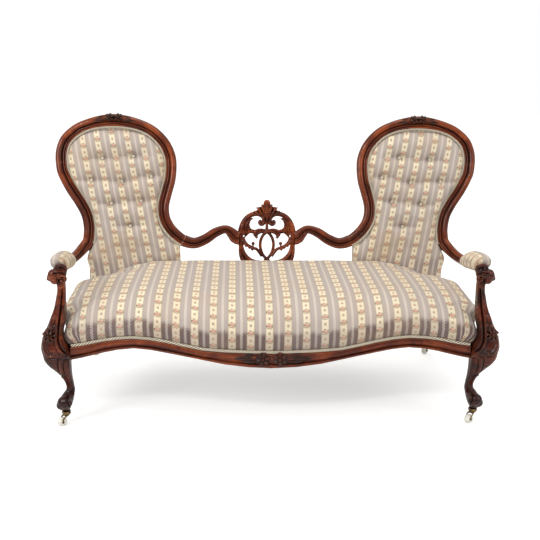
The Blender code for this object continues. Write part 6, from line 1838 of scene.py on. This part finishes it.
def rope(line, radius, turn_length, sides):
    """A laid cord: strands wound round a line of points with their own frames."""
    dense = np.array([tuple(p) for p in line])
    if len(line) < 400:
        dense = smooth_rows(dense, 4)
    count = round(line_length(dense) / ROPE_PITCH)
    dense = even_rows(dense, count)
    tangents = np.gradient(dense, axis=0)
    tangents /= np.linalg.norm(tangents, axis=1, keepdims=True)
    side = np.cross(tangents, np.array([0.0, -1.0, 0.02]))
    side /= np.linalg.norm(side, axis=1, keepdims=True)
    lift = np.cross(side, tangents)
    along = run_along(dense)
    thin = radius * STRAND_SHARE
    heap = Heap()
    shade = []
    for s in range(ROPE_STRANDS):
        angle = 2 * math.pi * (along / turn_length + s / ROPE_STRANDS)
        centre = dense + (radius - thin) * (side * np.cos(angle)[:, None] + lift * np.sin(angle)[:, None])
        rings = []
        for i in range(count):
            ring = []
            for k in range(sides):
                turn = 2 * math.pi * k / sides
                ring.append(centre[i] + thin * (side[i] * math.cos(turn) + lift[i] * math.sin(turn)))
                reach = np.linalg.norm(ring[-1] - dense[i]) / radius
                # Painted shade, darker the nearer a point lies to the cord's middle, where the strands meet
                shade.append(clamped((0.96 - reach) / 0.22))
            rings.append(ring)
        heap.loft(rings)
    return heap, shade


def hoop_edge(out, spare):
    """Where a back's wood meets its cloth: points at the edge, each with its across and its face."""
    rows = []
    for key in ("inner", "crest", "outer"):
        for centre, across, face, scale, _, _ in LINES[key]:
            if centre.y > BACK_BASE_Y + ARM_BACK_SET - spare:
                rows.append((centre - across * (MOULDING_WIDTH * scale / 2 + out), across, face))
    return rows


def add_cords():
    """Laid cord over the tacks: along the front rail, and round each back against the wood."""
    half = SEAT_HALF_WIDTH - 0.003
    line = []
    for x in np.linspace(-half, half, 500):
        y = front_line(x) + GIMP_RADIUS * FRONT_CORD_LIFT
        line.append((x, y, rail_top(x, y) + FIT_GAP + GIMP_RADIUS))
    heap, shade = rope(line, GIMP_RADIUS, FRONT_TURN, 12)
    single("cord_front_rail", heap.points, heap.faces, CORD, ["front_gimp"], "cord_gimp", smooth=CARVED_ANGLE,
           shade=shade)
    line = [edge + face * BACK_CORD_PROUD for edge, _, face in hoop_edge(BACK_CORD_OUT, 0.012)]
    heap, shade = rope(line, BACK_CORD_RADIUS, BACK_TURN, 10)
    pair("cord_back", heap.points, heap.faces, CORD, (), "cord_gimp", smooth=CARVED_ANGLE, shade=shade)


def add_welts():
    """The turned edge of the back's cloth, tacked flat against the wood under the cord."""
    rows = hoop_edge(FIT_GAP, 0.004)
    points = [edge - across * a + face * b for edge, across, face in rows for a, b in WELT_SECTION]
    uvs = [striped_uv((point - BASE).dot(OUTWARD), (point - BASE).dot(UPWARD)) for point in points]
    pair("welt_back", points, ring_faces(len(rows), len(WELT_SECTION)), BACK_CLOTH, (), "striped_cover",
         uvs=uvs, smooth=CLOTH_ANGLE, shade=[0.0] * len(points))


# The arm pads: their rings, and the wrinkles that grow towards the front
PAD_RINGS = 64
PAD_SIDES = 48
WRINKLE_SHARE = 0.012
PAD_STRIPE_SHIFT = 0.024


def add_pads():
    """Stuffed arm pads that swell forwards and hood the scroll heads."""
    start_y = BACK_BASE_Y - ARM_BACK_SET
    pad_y = start_y + (ARM_HEAD_Y + ARM_HEAD_RADIUS - start_y) * ARM_PAD_START_SHARE
    along = np.array([tuple(station[0]) for station in COARSE["outer"] if station[0].y < pad_y])
    table = smooth_rows(ARM_PAD_SHARES, axes=1)
    points, uvs = [], []
    for i in range(PAD_RINGS + 1):
        run = i / PAD_RINGS
        y = pad_y - run * ARM_PAD_LENGTH
        width, height, lift = [float(np.interp(run, table[:, 0], table[:, k])) for k in (1, 2, 3)]
        x, z = [float(np.interp(-y, -along[:, 1], along[:, k])) for k in (0, 2)]
        half_x, half_z = ARM_PAD_WIDTH / 2 * width, ARM_PAD_HEIGHT / 2 * height
        for k in range(PAD_SIDES):
            angle = 2 * math.pi * k / PAD_SIDES
            wrinkle = 1 + WRINKLE_SHARE * math.sin(9 * angle + 5 * run) * run
            points.append(Vector((x + ARM_PAD_OUT * run + half_x * math.cos(angle) * wrinkle, y,
                                  z + lift * ARM_PAD_HEIGHT + half_z * math.sin(angle) * wrinkle)))
            uvs.append((half_x * math.cos(angle) * 1.05 + PAD_STRIPE_SHIFT,
                        -y - half_z * math.sin(angle) * 0.8))
    faces = ring_faces(PAD_RINGS + 1, PAD_SIDES)
    for side, mirror in (("right", False), ("left", True)):
        pad = mesh_object(f"cover_arm_pad_{side}", points, faces, SEAT_CLOTH, uvs=uvs, smooth=CLOTH_ANGLE,
                          shade=[0.0] * len(points), mirror=mirror)
        cut_pad(pad, mirror)
        settle(pad, [f"arm_pad_{side}"])


# What the pads open round: the arm's moulding without its cord bead, and the head's swelling drum
ARM_CUT_POINTS = [*range(10), *range(24, 28)]
ARM_CUT_GROWTH = 1.12
ARM_CUT_START_Y = 0.10
HEAD_CUT_SHARES = [(-0.02, 0.2), (0.0, 0.5), (0.06, 0.80), (0.16, 0.95), (0.34, 1.02), (0.56, 0.98),
                   (0.74, 0.82), (0.90, 0.55), (1.02, 0.2)]
HEAD_CUT_SHRINK = 0.80
HEAD_CUT_SIDES = 28


def cut_pad(pad, mirror):
    """Opens the pad round the arm and the scroll head, as the solid is."""
    arm = Heap()
    shares = [MOULDING_LOOK[i] for i in ARM_CUT_POINTS]
    line = [station for station in LINES["outer"] if station[0].y < ARM_CUT_START_Y]
    rings = [ring_at(station, shares, MOULDING_WIDTH, MOULDING_DEPTH, ARM_CUT_GROWTH)
             for station in line[::3]]
    rings.append([point + line[-1][5] * ARM_HEAD_RADIUS / 2 for point in rings[-1]])
    arm.loft(rings)
    head = Heap()
    start = Vector((ARM_HEAD_X - ARM_HEAD_BEHIND, ARM_HEAD_Y, ARM_HEAD_Z + ARM_HEAD_LIFT))
    axis = Vector((ARM_HEAD_LENGTH, 0, -ARM_HEAD_DROOP))
    across = Vector((ARM_HEAD_DROOP, 0, ARM_HEAD_LENGTH)).normalized()
    turns = [2 * math.pi * i / HEAD_CUT_SIDES for i in range(HEAD_CUT_SIDES)]
    rings = []
    for run, share in HEAD_CUT_SHARES:
        radius = ARM_HEAD_RADIUS * share * HEAD_CUT_SHRINK
        rings.append([start + axis * run + across * radius * math.cos(turn)
                      + Vector((0, radius, 0)) * math.sin(turn) for turn in turns])
    head.loft(rings)
    for body in (arm, head):
        guide = mesh_object("guide", body.points, body.faces, SEAT_CLOTH, mirror=mirror)
        face_outwards(guide.data)
        step = pad.modifiers.new("opening", "BOOLEAN")
        step.operation = "DIFFERENCE"
        step.solver = "EXACT"
        step.object = guide
        cut = evaluated(pad)
        pad.modifiers.clear()
        pad.data = cut
        bpy.data.objects.remove(guide)


def outside_step(height):
    top = BACK_BASE_Z + UPRIGHT_RISE
    if height <= top:
        return upright_depth(height)
    return UPRIGHT_TOP_DEPTH * max(0, 1 - (height - top) / OUTSIDE_CLOSE)


OUTSIDE_ROWS = 70
OUTSIDE_COLUMNS = 30
OUTSIDE_CLOTH = 0.0028
OUTSIDE_PUFF = 0.0012


def add_outside_backs():
    """The cloth behind each back, tacked over the hoop and down to the rear rail."""
    reach = []
    for key in ("inner", "crest", "outer"):
        for centre, *_ in COARSE[key]:
            if centre.y > BACK_BASE_Y + ARM_BACK_SET:
                reach.append((centre.z, (centre - BASE).dot(OUTWARD)))
    top_z, top_across = max(reach)
    left_side = sorted(row for row in reach if row[1] <= top_across)
    right_side = sorted(row for row in reach if row[1] >= top_across)
    heights = slice_heights(REAR_TOP_Z + FIT_GAP, top_z - OUTSIDE_THICKNESS, OUTSIDE_ROWS)
    points, uvs = [], []
    area = 0.0
    for n, height in enumerate(heights):
        left = max(float(np.interp(height, *zip(*left_side))), -PAD_SPREAD)
        right = float(np.interp(height, *zip(*right_side))) if height >= right_side[0][0] else PAD_SPREAD
        if n:
            area += (right - left) * (height - heights[n - 1]) / BACK_SCALE
        face = WOOD_BACK - 2 * FIT_GAP - outside_step(height)
        for skin in (0, 1):
            for i in range(OUTSIDE_COLUMNS):
                share = i / (OUTSIDE_COLUMNS - 1)
                across = left + (right - left) * (share if skin == 0 else 1 - share)
                thick = skin * (OUTSIDE_CLOTH + OUTSIDE_PUFF * math.sin(math.pi * share))
                points.append(on_back(across, height, face - thick))
                uvs.append((across, along_back(height)))
    panels = pair("cover_outside_back", points, ring_faces(OUTSIDE_ROWS, 2 * OUTSIDE_COLUMNS), BACK_CLOTH,
                  ("outside_back",), "striped_cover", uvs=uvs, smooth=60.0, shade=[0.0] * len(points))
    length = (heights[-1] - heights[0]) / BACK_SCALE


# The dust cloth: its half width, columns and rows, how thick it is, and how far it hangs between the rails
DUST_HALF_WIDTH = 0.70
DUST_COLUMNS = 61
DUST_ROWS = 24
DUST_THICKNESS = 0.0012
DUST_SLACK = 0.008


def dust_point(x, j, layer):
    share = j / (DUST_ROWS - 1)
    first = front_line(x) + FRONT_RAIL_THICKNESS * 0.55
    last = back_y(x, REAR_TOP_Z, 0.006) + FRONT_RAIL_THICKNESS * 0.4
    y = first + (last - first) * share
    slack = DUST_SLACK * min(1, math.sin(math.pi * share) * 2.2) * min(1, (DUST_HALF_WIDTH - abs(x)) / 0.08)
    return (x, y, rail_under(x, y) - (LAID_GAP + FIT_GAP + 0.002) - slack - layer)


def add_dust_cloth():
    """Black bottom cloth, tacked under the rails and slack between them."""
    rows, columns = DUST_ROWS, DUST_COLUMNS
    points = [dust_point(x, j, layer) for layer in (0.0, DUST_THICKNESS)
              for x in np.linspace(-DUST_HALF_WIDTH, DUST_HALF_WIDTH, columns) for j in range(rows)]
    count = columns * rows
    faces = []
    for i in range(columns - 1):
        for j in range(rows - 1):
            a = i * rows + j
            faces.append((a, a + rows, a + rows + 1, a + 1))
            faces.append((count + a, count + a + 1, count + a + rows + 1, count + a + rows))
    rim = [i * rows for i in range(columns)]
    rim += [(columns - 1) * rows + j for j in range(1, rows)]
    rim += [i * rows + rows - 1 for i in range(columns - 2, -1, -1)]
    rim += [j for j in range(rows - 2, 0, -1)]
    faces += [(b, a, count + a, count + b) for a, b in zip(rim, rim[1:] + rim[:1])]
    cloth = single("cover_dust_cloth", points, faces, DUST, ["dust_cloth"], "hessian",
                   uvs=[(x, y) for x, y, _ in points], smooth=60.0)


add_seat()
add_backs()
add_cords()
add_welts()
add_pads()
add_outside_backs()
add_dust_cloth()


# Castors, and materials on the solids that stay

# Each horn of a fork: its run from pin to hub, its height, its spread as a share, and its radius
HORN_ROWS = [(0.05, 0.0383, 0.35, 0.0042), (0.35, 0.0378, 0.85, 0.0038), (0.72, 0.0352, 1.0, 0.0034),
             (0.95, 0.0290, 1.0, 0.0030), (1.0, 0.0225, 1.0, 0.0027), (1.0, 0.0175, 1.0, 0.0027)]
FORK_CROWN_Z = 0.0385
FORK_CROWN_RADII = (0.0088, 0.0088, 0.0030)
FORK_BOSS_RADII = (0.0044, 0.0044, 0.0019)


def add_forks():
    """Slim horned forks that leave the wheels open to view and turn with the castors."""
    places = {joint["name"]: joint for joint in frame["joints"]}
    shift = Vector((0, ORIGIN_BACK_Y, 0))
    line = smooth_rows(HORN_ROWS, 4, 3)
    for end in ("front_left", "front_right", "rear_left", "rear_right"):
        pin = Vector(places[f"{end}_swivel_turn"]["pos_m"]) + shift
        hub = Vector(places[f"{end}_wheel_roll"]["pos_m"]) + shift
        axle = Vector(places[f"{end}_wheel_roll"]["axis"])
        ahead = Vector((hub.x - pin.x, hub.y - pin.y, 0))
        base = Vector((pin.x, pin.y, 0))
        heap = Heap()
        for way in (-FORK_REACH, FORK_REACH):
            horn = [base + ahead * t + UP * z + axle * way * spread for t, z, spread, _ in line]
            heap.tube(horn, line[:, 3], 12, 0.55, axle)
            heap.ball(hub + axle * way, FORK_BOSS_RADII, (ahead.normalized(), UP, axle), 20, 10)
        heap.ball(base + UP * FORK_CROWN_Z, FORK_CROWN_RADII, None, 24, 12)
        single(f"fork_{end}", heap.points, heap.faces, BRASS, [f"castor_{end}_fork"], "aged_brass",
               f"{end}_swivel", smooth=60.0)


add_forks()


def repaint(node, material, rounding=0.0):
    piece = NODES[node]
    piece.data.materials.clear()
    piece.data.materials.append(material)
    if rounding:
        step = piece.modifiers.new("weld", "WELD")
        step.merge_threshold = 0.00001
        step = piece.modifiers.new("round", "BEVEL")
        step.width = rounding
        step.segments = 2
        step.limit_method = "ANGLE"
        step.angle_limit = math.radians(40)


# For each start of a node's name: its material and the rounding of its edges
REPAINTED = [("seat_spring", STEEL, 0.0), ("seat_webbing", HESSIAN, 0.0), ("back_lining", HESSIAN, 0.0),
             ("rear_rail", BEECH, 0.0012), ("centre_brace", BEECH, 0.0012), ("inner_upright", BEECH, 0.0012),
             ("side_rail", SIDE_WOOD, 0.0015)]

for name in NODES:
    if name.startswith("castor") and name.endswith("wheel"):
        repaint(name, CERAMIC, 0.0008)
    elif name.startswith("castor") and not name.endswith("fork"):
        repaint(name, BRASS, 0.0003)
    for start, material, rounding in REPAINTED:
        if name.startswith(start):
            repaint(name, material, rounding)


# Floor and light

FLOOR_REACH = 14.0
FLOOR_GLOW = 0.45
ROOM_TINT = (1.0, 0.985, 0.96)

# Each lamp: name, place, target, size, power and tint
LAMPS = [("key", (-2.9, -2.9, 2.7), (-0.2, 0, 0.6), 1.7, 84, (0.97, 0.98, 1.0)),
         ("glint", (-1.1, -3.2, 3.5), (0, 0, 0.5), 0.45, 32, (1.0, 0.98, 0.95)),
         ("fill", (3.4, -2.2, 2.0), (0, 0, 0.5), 1.6, 26, (1.0, 0.96, 0.92)),
         ("top", (0.3, 0.4, 4.2), (0, 0, 0.3), 2.4, 42, (1.0, 0.99, 0.97))]


def add_floor():
    mesh = bpy.data.meshes.new("floor")
    corners = [(-1, -1), (1, -1), (1, 1), (-1, 1)]
    mesh.from_pydata([(x * FLOOR_REACH, y * FLOOR_REACH, 0) for x, y in corners], [], [(0, 1, 2, 3)])
    paint = Paint("pale_floor", (0.90, 0.90, 0.90), 0.75)
    spot = paint.spots(3.0)
    colour = paint.mix((0.78, 0.78, 0.78), (0.82, 0.82, 0.82), spot)
    paint.shader.inputs["Emission Color"].default_value = (1, 1, 1, 1)
    seen = paint.number(paint.node("ShaderNodeLightPath").outputs["Is Camera Ray"])
    paint.link(seen * FLOOR_GLOW, paint.shader.inputs["Emission Strength"])
    mesh.materials.append(paint.finish(colour, 0.7 + spot * 0.1))
    floor = bpy.data.objects.new("floor", mesh)
    bpy.context.scene.collection.objects.link(floor)


def add_room():
    """Soft light from above for the piece, and plain white paper where nothing else is seen."""
    world = bpy.context.scene.world or bpy.data.worlds.new("world")
    bpy.context.scene.world = world
    world.use_nodes = True
    tree = world.node_tree
    room = tree.nodes["Background"]
    split = tree.nodes.new("ShaderNodeSeparateXYZ")
    tree.links.new(tree.nodes.new("ShaderNodeTexCoord").outputs["Generated"], split.inputs[0])
    rise = Num(tree, split.outputs[2])
    glow = (1 - rise.below(0.35, 1.1)) * 0.90 + 0.13
    tree.links.new(glow.socket, room.inputs["Strength"])
    room.inputs["Color"].default_value = (*ROOM_TINT, 1)
    paper = tree.nodes.new("ShaderNodeBackground")
    paper.inputs["Strength"].default_value = 1.0
    paper.inputs["Color"].default_value = (1, 1, 1, 1)
    both = tree.nodes.new("ShaderNodeMixShader")
    tree.links.new(tree.nodes.new("ShaderNodeLightPath").outputs["Is Camera Ray"], both.inputs[0])
    tree.links.new(room.outputs[0], both.inputs[1])
    tree.links.new(paper.outputs[0], both.inputs[2])
    tree.links.new(both.outputs[0], tree.nodes["World Output"].inputs["Surface"])


def add_lamps():
    for name, place, target, size, power, tint in LAMPS:
        lamp = bpy.data.lights.new(name, "AREA")
        lamp.shape = "SQUARE"
        lamp.size = size
        lamp.energy = power
        lamp.color = tint
        stand = bpy.data.objects.new(name, lamp)
        stand.location = place
        stand.rotation_euler = (Vector(target) - Vector(place)).to_track_quat("-Z", "Y").to_euler()
        bpy.context.scene.collection.objects.link(stand)
    bpy.context.scene.view_settings.view_transform = "Standard"


add_floor()
add_room()
add_lamps()
